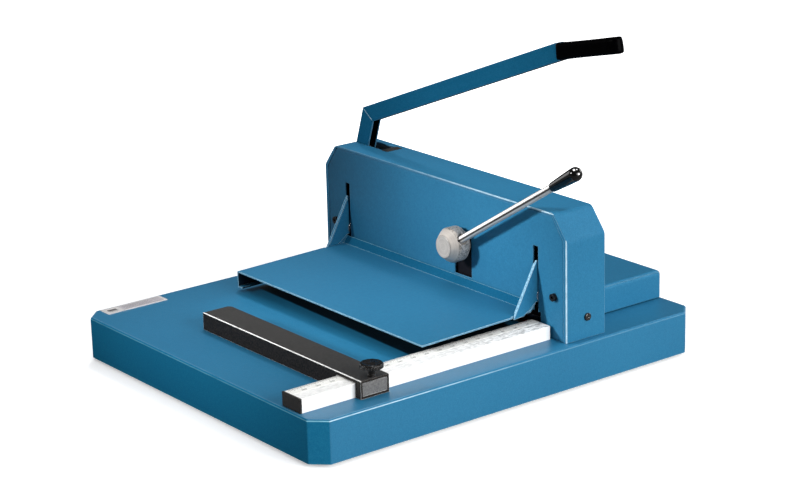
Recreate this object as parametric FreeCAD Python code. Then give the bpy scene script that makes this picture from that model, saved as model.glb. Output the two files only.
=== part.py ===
import FreeCAD, Part
import os
import math

# Manual guillotine stack cutter, table model, lever operated.
# Millimetres.  X runs along the bridge (left to right), Y runs over the table
# from the loading end (front) to the offcut end (rear), Z is up.  The origin is the
# centre of the four stand-fixing holes, on the underside of the base flange.

os.makedirs("parts", exist_ok=True)
V = FreeCAD.Vector
SIDES = (-1, 1)
AXES = {"x": V(1, 0, 0), "y": V(0, 1, 0), "z": V(0, 0, 1)}


# ------------------------------------------------------------------ solid helpers
def box(x0, x1, y0, y1, z0, z1):
    return Part.makeBox(x1 - x0, y1 - y0, z1 - z0, V(x0, y0, z0))


def cyl(radius, x, y, z, axis, length):
    return Part.makeCylinder(radius, length, V(x, y, z), AXES[axis])


def cyl_y(radius, centre, y, length):
    # centre is an (x, z) point
    return cyl(radius, centre[0], y, centre[1], "y", length)


def cone(radius0, radius1, x, y, z, axis, length):
    return Part.makeCone(radius0, radius1, length, V(x, y, z), AXES[axis])


def face(points):
    return Part.Face(Part.makePolygon(points + [points[0]]))


def prism_xz(points, y0, y1):
    return face([V(x, y0, z) for x, z in points]).extrude(V(0, y1 - y0, 0))


def prism_xy(points, z0, z1):
    return face([V(x, y, z0) for x, y in points]).extrude(V(0, 0, z1 - z0))


def prism_yz(points, x0, x1):
    return face([V(x0, y, z) for y, z in points]).extrude(V(x1 - x0, 0, 0))


def fuse(shape, *others):
    return shape.multiFuse(list(others)).removeSplitter()


def cut(shape, *tools):
    for tool in tools:
        shape = shape.cut(tool)
    return shape


def mirrored(shape):
    return shape.mirror(V(0, 0, 0), V(1, 0, 0))


def fillet(shape, radius, wanted):
    # wanted(mid, way, edge): centre of the edge, its direction if straight, the edge
    edges = []
    for edge in shape.Edges:
        way = None
        if len(edge.Vertexes) == 2 and edge.Curve.TypeId == "Part::GeomLine":
            way = edge.Vertexes[1].Point - edge.Vertexes[0].Point
            if way.Length > 0:
                way.normalize()
        if wanted(edge.CenterOfMass, way, edge):
            edges.append(edge)
    if not edges:
        raise ValueError("no edge to round")
    rounded = shape.makeFillet(radius, edges)
    if not rounded.isValid() or rounded.Volume <= 0:
        raise ValueError("bad round")
    return rounded


def runs(way, axis):
    return way is not None and abs(getattr(way, axis)) > 0.9


def along(axis):
    return lambda mid, way, edge: runs(way, axis)


def on_plane(axis, value):
    return lambda mid, way, edge: abs(getattr(mid, axis) - value) < 1e-3


def round_arch(shape, radius):
    # round the upper corners of a bridge outline
    return fillet(shape, radius, lambda mid, way, edge: runs(way, "y") and mid.z > 100)


def save(name, *shapes):
    solids = []
    for shape in shapes:
        solids += shape.Solids
    for solid in solids:
        if not solid.isValid() or solid.Volume <= 0:
            raise ValueError("bad solid in " + name)
    result = solids[0] if len(solids) == 1 else Part.makeCompound(solids)
    result.exportStep("parts/%s.step" % name)


# ----------------------------------------------------- helpers for points in a plane
def span(side, a, b):
    # low and high end of a range, on the side given by the sign
    return sorted((side * a, side * b))


def unit(angle):
    return (math.cos(math.radians(angle)), math.sin(math.radians(angle)))


def toward(start, end):
    length = math.dist(start, end)
    return ((end[0] - start[0]) / length, (end[1] - start[1]) / length)


def right_of(direction):
    return (direction[1], -direction[0])


def step(point, *moves):
    # each move is (distance, direction)
    a, b = point
    for distance, direction in moves:
        a += distance * direction[0]
        b += distance * direction[1]
    return (a, b)


def meet(p, u, q, v):
    # crossing of the line through p along u and the line through q along v
    det = -u[0] * v[1] + u[1] * v[0]
    da, db = q[0] - p[0], q[1] - p[1]
    return step(p, ((-da * v[1] + db * v[0]) / det, u))


def hexagon(a, b, radius):
    return [step((a, b), (radius, unit(60 * i))) for i in range(6)]


def octagon(half_x, half_y, cut_x, cut_y):
    # rectangle with its corners cut off
    return [(-half_x + cut_x, -half_y), (half_x - cut_x, -half_y),
            (half_x, -half_y + cut_y), (half_x, half_y - cut_y),
            (half_x - cut_x, half_y), (-half_x + cut_x, half_y),
            (-half_x, half_y - cut_y), (-half_x, -half_y + cut_y)]


# ------------------------------------------------------------- shared dimensions
BASE_W, BASE_D, BASE_H = 513.0, 600.0, 55.0         # base tray outside
BASE_CUT_X, BASE_CUT_Y = 18.5, 19.3                 # cut-off corners
BASE_T = 2.5                                        # base sheet

BRIDGE_HW = 246.5                                   # bridge half width
BRIDGE_Y0, BRIDGE_Y1 = 87.3, 150.8                  # front and rear
BRIDGE_TOP = 216.5
BRIDGE_CUT_X, BRIDGE_CUT_Z = 24.0, 30.5             # corner chamfers
HOOD_BEND_R = 10.0
HOOD_T = 2.0
THROAT_HW, THROAT_Z = 198.5, 84.0                   # paper throat
HOOD_SCREW_Y, HOOD_SCREW_Z = 121.5, 83.0
PANEL_SCREW_X, PANEL_SCREW_Z = 224.5, 110.5         # front panel
REAR_SCREW_X, REAR_SCREW_Z = 212.0, 176.0           # rear panel

FRAME_X0, FRAME_X1 = 238.5, 244.3                   # side frame plates
BETWEEN_HW = FRAME_X0 - 0.1                         # half length of bars between them
FRAME_SCREWS = [(144.5, 125.0), (144.5, 172.0), (98.0, 173.0)]   # (y, z)
BED_BOLT_X, BED_BOLT_Y = 229, 115
BEAM_Y0, BEAM_Y1 = 140.5, 148.5                     # rear beam

LEVER_PIVOT = (-222.0, 158.0)                       # (x, z), as the next three
SWING_PIVOT = (118.0, 158.0)
LEVER_PIN = step(LEVER_PIVOT, (76.43, unit(-20.0)))
SWING_PIN = (LEVER_PIN[0] + (SWING_PIVOT[0] - LEVER_PIVOT[0]), LEVER_PIN[1])
PIVOTS = (LEVER_PIVOT, SWING_PIVOT)

PRESS_Y0, PRESS_Y1 = 91.5, 105.5                    # press bar
PRESS_Y = (PRESS_Y0 + PRESS_Y1) / 2                 # guide rods and springs
GUIDE_ROD_X = (-150.0, 150.0)
SPRING_X = (-112.0, 112.0)
SPRING_POCKET_R = 6.2
HUB = (48.0, 141.0)                                 # clamp hub axis (x, z)

GUARD_HX = 196.5                                    # guard half width
GUARD_SHIFT = -4.0                                  # guard and slots sit off centre
GUARD_PIVOT = (94.0, 104.0)                         # (y, z)

RAIL_X0, RAIL_X1, RAIL_MID_X = 185.0, 220.0, 202.5
RAIL_Y0, RAIL_Y1, RAIL_H = -293.0, 84.0, 17.6
RAIL_TOP = BASE_H + RAIL_H
RAIL_SCREW_Y = (-245.0, -90.0, 50.0)

# --------------------------------------------------------------------- base tray
FLANGE = 32.0                                       # inturned bottom flange
FOOT_X, FOOT_Y, FOOT_H = 238.0, 266.0, 4.0
STAND_X, STAND_Y, STAND_R = 240.0, 200.0, 4.5       # stand-fixing holes
CORNERS = [(side_x, side_y) for side_x in SIDES for side_y in SIDES]

tray = prism_xy(octagon(BASE_W / 2, BASE_D / 2, BASE_CUT_X, BASE_CUT_Y), 0, BASE_H)
tray = fillet(tray, 2.5, along("z"))
tray = fillet(tray, 3.0, on_plane("z", BASE_H))
cavity = octagon(BASE_W / 2 - BASE_T, BASE_D / 2 - BASE_T, BASE_CUT_X - 1, BASE_CUT_Y - 1)
opening = octagon(BASE_W / 2 - FLANGE, BASE_D / 2 - FLANGE, BASE_CUT_X, BASE_CUT_Y)
tray = cut(tray,
           prism_xy(cavity, BASE_T, BASE_H - BASE_T),
           prism_xy(opening, -1, BASE_T + 1),
           box(-222, 222, 98, 132, 40, 60))
for side in SIDES:
    slot_x0, slot_x1 = span(side, FRAME_X0 - 0.3, FRAME_X1 + 0.3)
    tray = tray.cut(box(slot_x0, slot_x1, 90.7, 148.9, 40, 60))
    for side_y in SIDES:
        tray = cut(tray,
                   cyl(STAND_R, side * STAND_X, side_y * STAND_Y, -1, "z", 5),
                   cyl(2.7, side * FOOT_X, side_y * FOOT_Y, -1, "z", 5))
for y in RAIL_SCREW_Y:
    tray = tray.cut(cyl(2.2, RAIL_MID_X, y, 48, "z", 10))
save("base_tray", tray)


def stiffener(y):
    # channel under the top sheet, open downward
    top = BASE_H - BASE_T
    channel = box(-253.5, 253.5, y - 22, y + 22, 22, top)
    channel = channel.cut(box(-260, 260, y - 20, y + 20, 21, top - 2))
    for screw_y in RAIL_SCREW_Y:
        channel = channel.cut(cyl(5.5, RAIL_MID_X, screw_y, 20, "z", 40))
    return channel


save("base_stiffeners", *[stiffener(y) for y in (-215.0, -60.0, 235.0)])


def rubber_foot(x, y):
    foot = fillet(cone(11.0, 12.5, x, y, -FOOT_H, "z", FOOT_H), 1.0, on_plane("z", -FOOT_H))
    return cut(foot, cyl(2.6, x, y, -FOOT_H - 1, "z", 10), cyl(5.2, x, y, -FOOT_H - 1, "z", 2.6))


def foot_screw(x, y):
    return fuse(cyl(4.9, x, y, -FOOT_H + 0.2, "z", 1.4), cyl(2.5, x, y, -FOOT_H + 1.5, "z", 10))


save("rubber_feet", *[rubber_foot(sx * FOOT_X, sy * FOOT_Y) for sx, sy in CORNERS])
save("foot_screws", *[foot_screw(sx * FOOT_X, sy * FOOT_Y) for sx, sy in CORNERS])

# ---------------------------------------------------------- cutting bed and stick
bed = fuse(box(-BETWEEN_HW, BETWEEN_HW, 98.5, 131.5, 30, 52.3),
           box(-221.5, 221.5, 98.5, 131.5, 52, BASE_H))
bed = bed.cut(box(-219, 219, 104, 112, 47, 60))
for side in SIDES:
    bed = bed.cut(cyl(3, side * BED_BOLT_X, BED_BOLT_Y, 29, "z", 30))
save("cutting_bed", bed)
save("cutting_stick", box(-218.8, 218.8, 104.1, 111.9, 47, BASE_H))


# ------------------------------------------------------------------ bridge frame
def side_frame():
    # right-hand frame plate
    plate = prism_yz([(91, 4), (148.6, 4), (148.6, 182), (91, 182)], FRAME_X0, FRAME_X1)
    # block for the front panel screw and the guard pivot, with a thin front pad
    plate = fuse(plate, box(216, FRAME_X0 + 0.5, 90.9, 101.4, 94, 122))
    plate = fuse(plate, box(216, 236, 89.4, 92, 94, 122))
    plate = cut(plate,
                cyl(2.6, PANEL_SCREW_X, 88, PANEL_SCREW_Z, "y", 15),
                cyl(4.0, 215, *GUARD_PIVOT, "x", 7.0),
                cyl(2.55, 230, HOOD_SCREW_Y, HOOD_SCREW_Z, "x", 20))
    for y, z in FRAME_SCREWS:
        plate = cut(plate, cyl(2.6, 230, y, z, "x", 20),
                    cone(2.6, 4.0, FRAME_X1 - 1.6, y, z, "x", 1.6))
    # bolt flange under the end of the bed
    plate = fuse(plate, box(219, FRAME_X0 + 0.5, 104, 128, 25.5, 30))
    return plate.cut(cyl(3.2, BED_BOLT_X, BED_BOLT_Y, 20, "z", 20))


def bed_bolt(x):
    return fuse(cyl(5.0, x, BED_BOLT_Y, 20.5, "z", 5.0), cyl(2.95, x, BED_BOLT_Y, 25, "z", 20))


frame = side_frame()
save("right_side_frame", frame)
save("left_side_frame", mirrored(frame))
save("bed_bolts", *[bed_bolt(side * BED_BOLT_X) for side in SIDES])


def end_hole(side, y, z):
    # frame screw hole in the end of a bar between the side frames
    depth = 14
    return cyl(2.5, span(side, BETWEEN_HW, BETWEEN_HW - depth)[0], y, z, "x", depth)


beam = prism_xz([(-BETWEEN_HW, 112), (BETWEEN_HW, 112), (BETWEEN_HW, 182),
                 (222, 204), (-222, 204), (-BETWEEN_HW, 182)], BEAM_Y0, BEAM_Y1)
for pivot in PIVOTS:
    beam = beam.cut(cyl_y(8.0, pivot, BEAM_Y0 - 1, 20))
for x in (-120, -40, 200):
    beam = beam.cut(cyl_y(24, (x, LEVER_PIVOT[1]), BEAM_Y0 - 1, 20))
for side in SIDES:
    for y, z in FRAME_SCREWS[:2]:
        beam = beam.cut(end_hole(side, y, z))
    beam = beam.cut(cyl(2.5, side * REAR_SCREW_X, BEAM_Y0 - 1, REAR_SCREW_Z, "y", 20))
save("rear_beam", beam)

tie = box(-BETWEEN_HW, BETWEEN_HW, 92, 104.5, 166, 180)
for x in GUIDE_ROD_X:
    tie = tie.cut(cyl(4.5, x, PRESS_Y, 160, "z", 30))
for side in SIDES:
    tie = tie.cut(end_hole(side, *FRAME_SCREWS[2]))
for x in SPRING_X:
    tie = tie.cut(cyl(SPRING_POCKET_R, x, PRESS_Y, 165, "z", 5.0))
save("top_tie_bar", tie)


def frame_screw(side, y, z):
    screw = fuse(cone(2.45, 3.8, FRAME_X1 - 1.55, y, z, "x", 1.55),
                 cyl(2.45, FRAME_X1 - 15, y, z, "x", 13.6))
    return screw if side > 0 else mirrored(screw)


save("frame_screws", *[frame_screw(side, y, z) for side in SIDES for y, z in FRAME_SCREWS])

# ----------------------------------------------------------------- bridge covers
LEVER_SLOT_X0, LEVER_SLOT_X1 = -222.8, -147.5
LEVER_SLOT_Y0, LEVER_SLOT_Y1 = 118.8, 141.2


def arch(side_inset, top_inset, z0, corner=0.5):
    # chamfered bridge outline in XZ, inset at the sides and top;
    # corner is how much of each inset is taken off the chamfer
    half_w, top = BRIDGE_HW - side_inset, BRIDGE_TOP - top_inset
    cut_x = BRIDGE_CUT_X - side_inset * corner
    cut_z = BRIDGE_CUT_Z - top_inset * corner
    return [(-half_w, z0), (-half_w, top - cut_z), (-half_w + cut_x, top),
            (half_w - cut_x, top), (half_w, top - cut_z), (half_w, z0)]


def throat(y0, y1):
    return box(-THROAT_HW, THROAT_HW, y0, y1, 40, THROAT_Z)


# open at the back, with a recess left for the front panel
hood = round_arch(prism_xz(arch(0, 0, BASE_H + 0.3), BRIDGE_Y0, BRIDGE_Y1), HOOD_BEND_R)
inside = prism_xz(arch(HOOD_T, HOOD_T, BASE_H - 1, 0.55), BRIDGE_Y0 + 1.6, BRIDGE_Y1 + 1)
inside = round_arch(inside, HOOD_BEND_R - 2)
front = prism_xz(arch(5.4, 2.6, BASE_H - 1, 0.6), BRIDGE_Y0 - 1, BRIDGE_Y0 + 5)
front = round_arch(front, 5.0)
hood = cut(hood, inside, front,
           box(LEVER_SLOT_X0, LEVER_SLOT_X1, LEVER_SLOT_Y0, LEVER_SLOT_Y1, 205, 220),
           cyl(2.9, -250, HOOD_SCREW_Y, HOOD_SCREW_Z, "x", 10),
           cyl(2.9, 240, HOOD_SCREW_Y, HOOD_SCREW_Z, "x", 10))
save("hood", hood)

# soft buffer in the end of the opening that the lever swings toward
save("lever_slot_liner",
     fuse(box(LEVER_SLOT_X1 - 9.6, LEVER_SLOT_X1 - 0.2, LEVER_SLOT_Y0 + 0.2,
              LEVER_SLOT_Y1 - 0.2, 211.5, BRIDGE_TOP + 0.5),
          box(LEVER_SLOT_X1 - 9.6, LEVER_SLOT_X1 + 1.6, LEVER_SLOT_Y0 - 1.6,
              LEVER_SLOT_Y1 + 1.6, BRIDGE_TOP, BRIDGE_TOP + 0.7)))

# front panel: a shallow pan with bent edges, open to the rear
ARM_SLOT_X0, ARM_SLOT_X1, ARM_SLOT_TOP = 189.0, 198.5, 168.5      # guard arm slots
CLAMP_SLOT = (31.0, 65.2, 80, 95, 96.0, 154.0)                    # box limits
PANEL_Y0 = BRIDGE_Y0 + 0.3
panel = prism_xz(arch(5.7, 2.9, BASE_H + 0.5, 0.6), PANEL_Y0, BRIDGE_Y0 + 3.5)
panel = round_arch(panel, 4.8)
panel = fillet(panel, 1.6, lambda mid, way, edge:
               abs(mid.y - PANEL_Y0) < 1e-3 and mid.z > BASE_H + 1)
hollow = prism_xz(arch(7.5, 4.7, BASE_H - 3, 0.6), BRIDGE_Y0 + 2.1, BRIDGE_Y0 + 6)
panel = cut(panel, hollow, throat(80, 95))
for side in SIDES:
    slot_x0, slot_x1 = span(side, ARM_SLOT_X0, ARM_SLOT_X1)
    panel = cut(panel,
                box(slot_x0 + GUARD_SHIFT, slot_x1 + GUARD_SHIFT, 80, 95, 80, ARM_SLOT_TOP),
                cyl(3.1, side * PANEL_SCREW_X, 80, PANEL_SCREW_Z, "y", 15))
panel = panel.cut(box(*CLAMP_SLOT))
save("front_panel", panel)

panel = prism_xz(arch(2.3, 2.3, BASE_H + 0.5, 0.55), BRIDGE_Y1 - 2.0, BRIDGE_Y1)
panel = round_arch(panel, HOOD_BEND_R - 2.2)
panel = panel.cut(throat(140, 160))
for side in SIDES:
    panel = panel.cut(cyl(2.7, side * REAR_SCREW_X, 140, REAR_SCREW_Z, "y", 20))
save("rear_panel", panel)


def cap_screw(x, y, z, radius, length, head_r, head_h, socket_r, head_side):
    # socket screw along Y; head_side is -1 for a head toward the front, 1 for the rear
    shank = cyl(radius, x, min(y, y - head_side * length), z, "y", length)
    head = cyl(head_r, x, min(y, y + head_side * head_h), z, "y", head_h)
    ends = sorted((y + head_side * head_h * 0.4, y + head_side * (head_h + 1)))
    return shank.fuse(head).cut(prism_xz(hexagon(x, z, socket_r), *ends))


save("rear_panel_screws",
     *[cap_screw(side * REAR_SCREW_X, BRIDGE_Y1, REAR_SCREW_Z, radius=2.4, length=9.5,
                 head_r=4.6, head_h=2.6, socket_r=1.7, head_side=1) for side in SIDES])
save("front_panel_screws",
     *[cap_screw(side * PANEL_SCREW_X, PANEL_Y0, PANEL_SCREW_Z, radius=2.55, length=13.0,
                 head_r=4.9, head_h=4.6, socket_r=2.3, head_side=-1) for side in SIDES])


def hood_side_screw():
    head_h = 2.9
    screw = fuse(cyl(2.5, 230, HOOD_SCREW_Y, HOOD_SCREW_Z, "x", BRIDGE_HW - 230 + 0.5),
                 cyl(5.0, BRIDGE_HW, HOOD_SCREW_Y, HOOD_SCREW_Z, "x", head_h))
    screw = fillet(screw, 1.6, on_plane("x", BRIDGE_HW + head_h))
    socket = hexagon(HOOD_SCREW_Y, HOOD_SCREW_Z, 1.8)
    return screw.cut(prism_yz(socket, BRIDGE_HW + 1.2, BRIDGE_HW + 5))


screw = hood_side_screw()
save("hood_side_screws", screw, mirrored(screw))

# ------------------------------------------------------ pivot shafts, cranks, pins
SHAFT_R, SHAFT_Y0 = 8.0, 118.5
BUSH_R = 11.0
HUB_END_Y, HUB_LEN = 121.0, 18.5                    # crank hub and its bush
PIN_R = 6.0
WEB_Y0, WEB_Y1 = 123.0, 137.0


def pivot_shaft(pivot):
    shaft = cyl_y(SHAFT_R, pivot, SHAFT_Y0, BEAM_Y1 - SHAFT_Y0)
    return shaft.cut(cyl_y(12, pivot, 119.45, 1.3).cut(cyl_y(7.4, pivot, 119, 3)))


def retaining_ring(pivot):
    x, z = pivot
    return cut(cyl_y(10.6, pivot, 119.5, 1.2), cyl_y(7.45, pivot, 119, 3),
               box(x - 2.5, x + 2.5, 118, 122, z - 12, z))


def crank(pivot, pin, tongue=None):
    # two eyes joined by a tapered web, half widths 13 and 11
    across = right_of(toward(pivot, pin))
    web = [step(pivot, (-13.0, across)), step(pin, (-11.0, across)),
           step(pin, (11.0, across)), step(pivot, (13.0, across))]
    body = fuse(cyl_y(15.0, pivot, HUB_END_Y, HUB_LEN),
                cyl_y(12.5, pin, WEB_Y0, WEB_Y1 - WEB_Y0),
                prism_xz(web, WEB_Y0, WEB_Y1))
    if tongue:
        body = fuse(body, tongue)
    return cut(body, cyl_y(BUSH_R, pivot, 120, 25), cyl_y(PIN_R, pin, 120, 25))


def bush(pivot):
    return cyl_y(BUSH_R, pivot, HUB_END_Y, HUB_LEN).cut(cyl_y(8.05, pivot, 120, 25))


def crank_pin(pin):
    return cyl_y(PIN_R, pin, 111.3, 25.7)


save("pivot_shafts", *[pivot_shaft(pivot) for pivot in PIVOTS])
save("retaining_rings", *[retaining_ring(pivot) for pivot in PIVOTS])
save("lever_bush", bush(LEVER_PIVOT))
save("lever_crank_pin", crank_pin(LEVER_PIN))
save("swing_crank", crank(SWING_PIVOT, SWING_PIN))
save("swing_crank_bush", bush(SWING_PIVOT))
save("swing_crank_pin", crank_pin(SWING_PIN))

# ------------------------------------------------------------------- lever group
LEVER_Y0, LEVER_Y1 = 120.5, 134.5                   # lever channel width
LEVER_MID_Y = (LEVER_Y0 + LEVER_Y1) / 2
LEVER_T = 2.0
LEVER_CORNER = (-202.5, 267.5)                      # outer corner of the bent lever (x, z)
LEG_L, LEG_W = 78.0, 26.0                           # leg, below the corner
ARM_L, ARM_DEPTH = 420.4, 22.5                      # arm, right of the corner
GRIP_L = 108.0
LEG_UP = unit(90 - 18.5)
LEG_ACROSS = right_of(LEG_UP)
ARM_OUT = unit(21.0)
ARM_ACROSS = right_of(ARM_OUT)
GRIP_OUT = unit(13.0)
GRIP_ACROSS = right_of(GRIP_OUT)
GRIP_START = step(LEVER_CORNER, (ARM_L, ARM_OUT), (ARM_DEPTH / 2, ARM_ACROSS))
TONGUE_SLOPE = 0.2896                               # x per z, up the middle of the tongue


def on_tongue(z):
    return (LEVER_PIVOT[0] + (z - LEVER_PIVOT[1]) * TONGUE_SLOPE, z)


LEVER_BOLTS = (on_tongue(193.0), on_tongue(205.0))


def lever_outline(inset, leg_l, arm_l, leg_w, arm_depth):
    # inset is measured from the outer left and top edges
    leg_outer = step(LEVER_CORNER, (inset, LEG_ACROSS))
    arm_outer = step(LEVER_CORNER, (inset, ARM_ACROSS))
    leg_inner = step(LEVER_CORNER, (leg_w, LEG_ACROSS))
    arm_inner = step(LEVER_CORNER, (arm_depth, ARM_ACROSS))
    return [step(leg_outer, (-leg_l, LEG_UP)),
            step(leg_inner, (-leg_l, LEG_UP)),
            meet(leg_inner, LEG_UP, arm_inner, ARM_OUT),
            step(arm_inner, (arm_l, ARM_OUT)),
            step(arm_outer, (arm_l, ARM_OUT)),
            meet(leg_outer, LEG_UP, arm_outer, ARM_OUT)]


def distance_along(mid, start, direction):
    return (mid.x - start[0]) * direction[0] + (mid.z - start[1]) * direction[1]


def outer_lever_edge(mid, way, edge):
    return (edge.Length > 50 and abs(mid.y - LEVER_MID_Y) > 6 and
            (abs(distance_along(mid, LEVER_CORNER, LEG_ACROSS)) < 0.5 or
             abs(distance_along(mid, LEVER_CORNER, ARM_ACROSS)) < 0.5))


def drill_lever_bolts(shape):
    for bolt in LEVER_BOLTS:
        shape = shape.cut(cyl_y(3.2, bolt, 115, 30))
    return shape


lever = prism_xz(lever_outline(0, LEG_L, ARM_L, LEG_W, ARM_DEPTH), LEVER_Y0, LEVER_Y1)
lever = fillet(lever, 1.6, outer_lever_edge)
hollow = lever_outline(LEVER_T, LEG_L + 5, ARM_L - 34, LEG_W + 5, ARM_DEPTH + 5)
lever = lever.cut(prism_xz(hollow, LEVER_Y0 + LEVER_T, LEVER_Y1 - LEVER_T))
# (distance along, distance across) from the start of the grip
grip_core = prism_xz([step(GRIP_START, (out, GRIP_OUT), (across, GRIP_ACROSS))
                      for out, across in ((-14, -6.5), (GRIP_L - 12, -6.5),
                                          (GRIP_L - 12, 6.5), (-14, 6.5))],
                     LEVER_Y0 + 2.5, LEVER_Y1 - 2.5)
save("cutting_lever", drill_lever_bolts(fuse(lever, grip_core)))


def grip_end_edge(mid, way, edge):
    return (way is not None and abs(way.y) < 0.1 and edge.Length < 60 and
            abs(distance_along(mid, GRIP_START, GRIP_OUT) - GRIP_L) < 0.3)


def grip_long_edge(mid, way, edge):
    return (distance_along(mid, GRIP_START, GRIP_OUT) > 20 and
            (way is None or edge.Length > 60 or (edge.Length < 3 and abs(way.y) > 0.9)))


grip = prism_xz([step(GRIP_START, (out, GRIP_OUT), (across, GRIP_ACROSS))
                 for out, across in ((1.2, -10.6), (GRIP_L, -10.2),
                                     (GRIP_L, 10.2), (-1.6, 10.9))],
                LEVER_Y0 - 1.5, LEVER_Y1 + 1.5)
# the free end is round in plan, then all long edges are rounded
grip = fillet(grip, 8.0, grip_end_edge)
grip = fillet(grip, 4.0, grip_long_edge)
arm_end = prism_xz([step(LEVER_CORNER, (out, ARM_OUT), (across, ARM_ACROSS))
                    for out, across in ((ARM_L - 40, -5), (ARM_L, -5),
                                        (ARM_L, ARM_DEPTH + 5), (ARM_L - 40, ARM_DEPTH + 5))],
                   115, 145)
save("lever_grip", cut(grip, grip_core, arm_end))

tongue_top = on_tongue(213.0)
tongue_across = right_of(toward(LEVER_PIVOT, tongue_top))
tongue = prism_xz([step(LEVER_PIVOT, (-10, tongue_across)),
                   step(tongue_top, (-9.5, tongue_across)),
                   step(tongue_top, (9.5, tongue_across)),
                   step(LEVER_PIVOT, (10, tongue_across))], LEVER_Y0 + 2.5, LEVER_Y1 - 2.2)
save("lever_crank", drill_lever_bolts(crank(LEVER_PIVOT, LEVER_PIN, tongue)))
save("lever_bolts",
     *[fuse(prism_xz(hexagon(*bolt, 5.6), LEVER_Y0 - 3.6, LEVER_Y0),
            cyl_y(3.1, bolt, LEVER_Y0 - 1, LEVER_Y1 - LEVER_Y0 + 1.6))
       for bolt in LEVER_BOLTS])

# ------------------------------------------------------------------- blade group
BLADE_X0, BLADE_X1 = -200.0, 225.0
BLADE_Y0, BLADE_Y1 = 107.0, 111.0
BLADE_Z0, BLADE_Z1 = 80.1, 124.0
CARRIER_Y1 = 119.0
BLADE_SCREWS = [(x, 115.0) for x in (-172.0, -86.0, 0.0, 86.0, 172.0)]     # (x, z)
BLADE_HOLE_R = 3.95

carrier = box(-200, 222, BLADE_Y1, CARRIER_Y1, 104, 147)
carrier = fillet(carrier, 8.0, along("y"))
carrier = cut(carrier, cyl_y(6.05, LEVER_PIN, 105, 20), cyl_y(6.5, SWING_PIN, 105, 20))
for place in BLADE_SCREWS:
    carrier = carrier.cut(cyl_y(BLADE_HOLE_R, place, 105, 20))
save("blade_carrier", carrier)

blade = prism_yz([(BLADE_Y0, BLADE_Z0), (BLADE_Y0 + 0.25, BLADE_Z0),
                  (BLADE_Y1, BLADE_Z0 + 9.5), (BLADE_Y1, BLADE_Z1),
                  (BLADE_Y0, BLADE_Z1)], BLADE_X0, BLADE_X1)
for x, z in BLADE_SCREWS:
    blade = cut(blade, cone(7.5, BLADE_HOLE_R, x, BLADE_Y0, z, "y", 3.55),
                cyl(BLADE_HOLE_R, x, 105, z, "y", 20))
blade = cut(blade, cyl_y(6.6, LEVER_PIN, 105, 5.9), cyl_y(6.6, SWING_PIN, 105, 5.9))
save("blade", blade)


def blade_screw(x, z):
    screw = fuse(cone(7.3, 3.9, x, BLADE_Y0 + 0.15, z, "y", 3.4),
                 cyl(3.9, x, BLADE_Y0 + 3.5, z, "y", 8.2))
    return screw.cut(prism_xz(hexagon(x, z, 2.6), 106, 109.4))


save("blade_screws", *[blade_screw(*place) for place in BLADE_SCREWS])

# ------------------------------------------------------------------- clamp group
CLAMP_SHAFT_R, CLAMP_SHAFT_Y0 = 12.0, 64.0
CLAMP_BORE_END = PRESS_Y0 + 11.0
ROD_Y, ROD_TILT = 71.5, 31.1                        # tilt above level
ROD_R, ROD_START = 5.0, 12.9                        # start, from the hub axis
HANDLE_BORE, HANDLE_BORE_L = 223.9, 18.0

press = fuse(box(-214, 214, PRESS_Y0, PRESS_Y1, 76.0, 90),
             box(-182, 182, PRESS_Y0, PRESS_Y1, 89, 126),
             box(18, 78, PRESS_Y0, PRESS_Y1, 120, 158))
press = press.cut(cyl_y(CLAMP_SHAFT_R, HUB, PRESS_Y0 - 1, 12.0))
for x in GUIDE_ROD_X:
    press = press.cut(cyl(4.56, x, PRESS_Y, 84.5, "z", 60))
for x in SPRING_X:
    press = press.cut(cyl(SPRING_POCKET_R, x, PRESS_Y, 122.0, "z", 20))
save("press_bar", press)
save("clamp_shaft",
     cyl_y(CLAMP_SHAFT_R, HUB, CLAMP_SHAFT_Y0, CLAMP_BORE_END - CLAMP_SHAFT_Y0))
save("clamp_guide_rods", *[cyl(4.5, x, PRESS_Y, 88, "z", 92) for x in GUIDE_ROD_X])


def clamp_spring(x):
    z0, z1, pitch, coil_r, wire_r = 123.2, 169.6, 4.0, 4.2, 0.8
    path = Part.Wire(Part.makeHelix(pitch, z1 - z0 - 2.0, coil_r).Edges)
    first = path.Edges[0]
    start = first.valueAt(first.FirstParameter)
    tangent = first.tangentAt(first.FirstParameter)
    section = Part.Wire([Part.makeCircle(wire_r, start, tangent)])
    spring = path.makePipeShell([section], True, True)
    spring.translate(V(x, PRESS_Y, z0 + 1.0))
    return spring


save("clamp_springs", *[clamp_spring(x) for x in SPRING_X])


def along_rod(shape):
    # the shape is drawn along +X from the hub axis, then tilted up
    shape.rotate(V(0, 0, 0), V(0, 1, 0), -ROD_TILT)
    shape.translate(V(HUB[0], ROD_Y, HUB[1]))
    return shape


def rod_cyl(start, length):
    return Part.makeCylinder(ROD_R, length, V(start, 0, 0), V(1, 0, 0))


# (y, radius)
HUB_PROFILE = [(55.0, 0), (55.0, 14.2), (55.8, 15.2), (65.5, 22.4), (66.6, 23.0),
               (79.6, 23.0), (81.4, 21.4), (81.4, 18.0), (85.4, 18.0), (85.4, 0)]
hub = face([V(HUB[0] + radius, y, HUB[1]) for y, radius in HUB_PROFILE])
hub = hub.revolve(V(HUB[0], 0, HUB[1]), V(0, 1, 0), 360)
hub = cut(hub, cyl_y(12.05, HUB, 63.9, 30),
          along_rod(Part.makeCone(5.2, 9.5, 5.5, V(18.6, 0, 0), V(1, 0, 0))),
          along_rod(rod_cyl(12.6, 12.0)))
save("clamp_hub", hub)
save("clamp_rod", along_rod(rod_cyl(ROD_START, HANDLE_BORE + HANDLE_BORE_L - ROD_START)))

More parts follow.
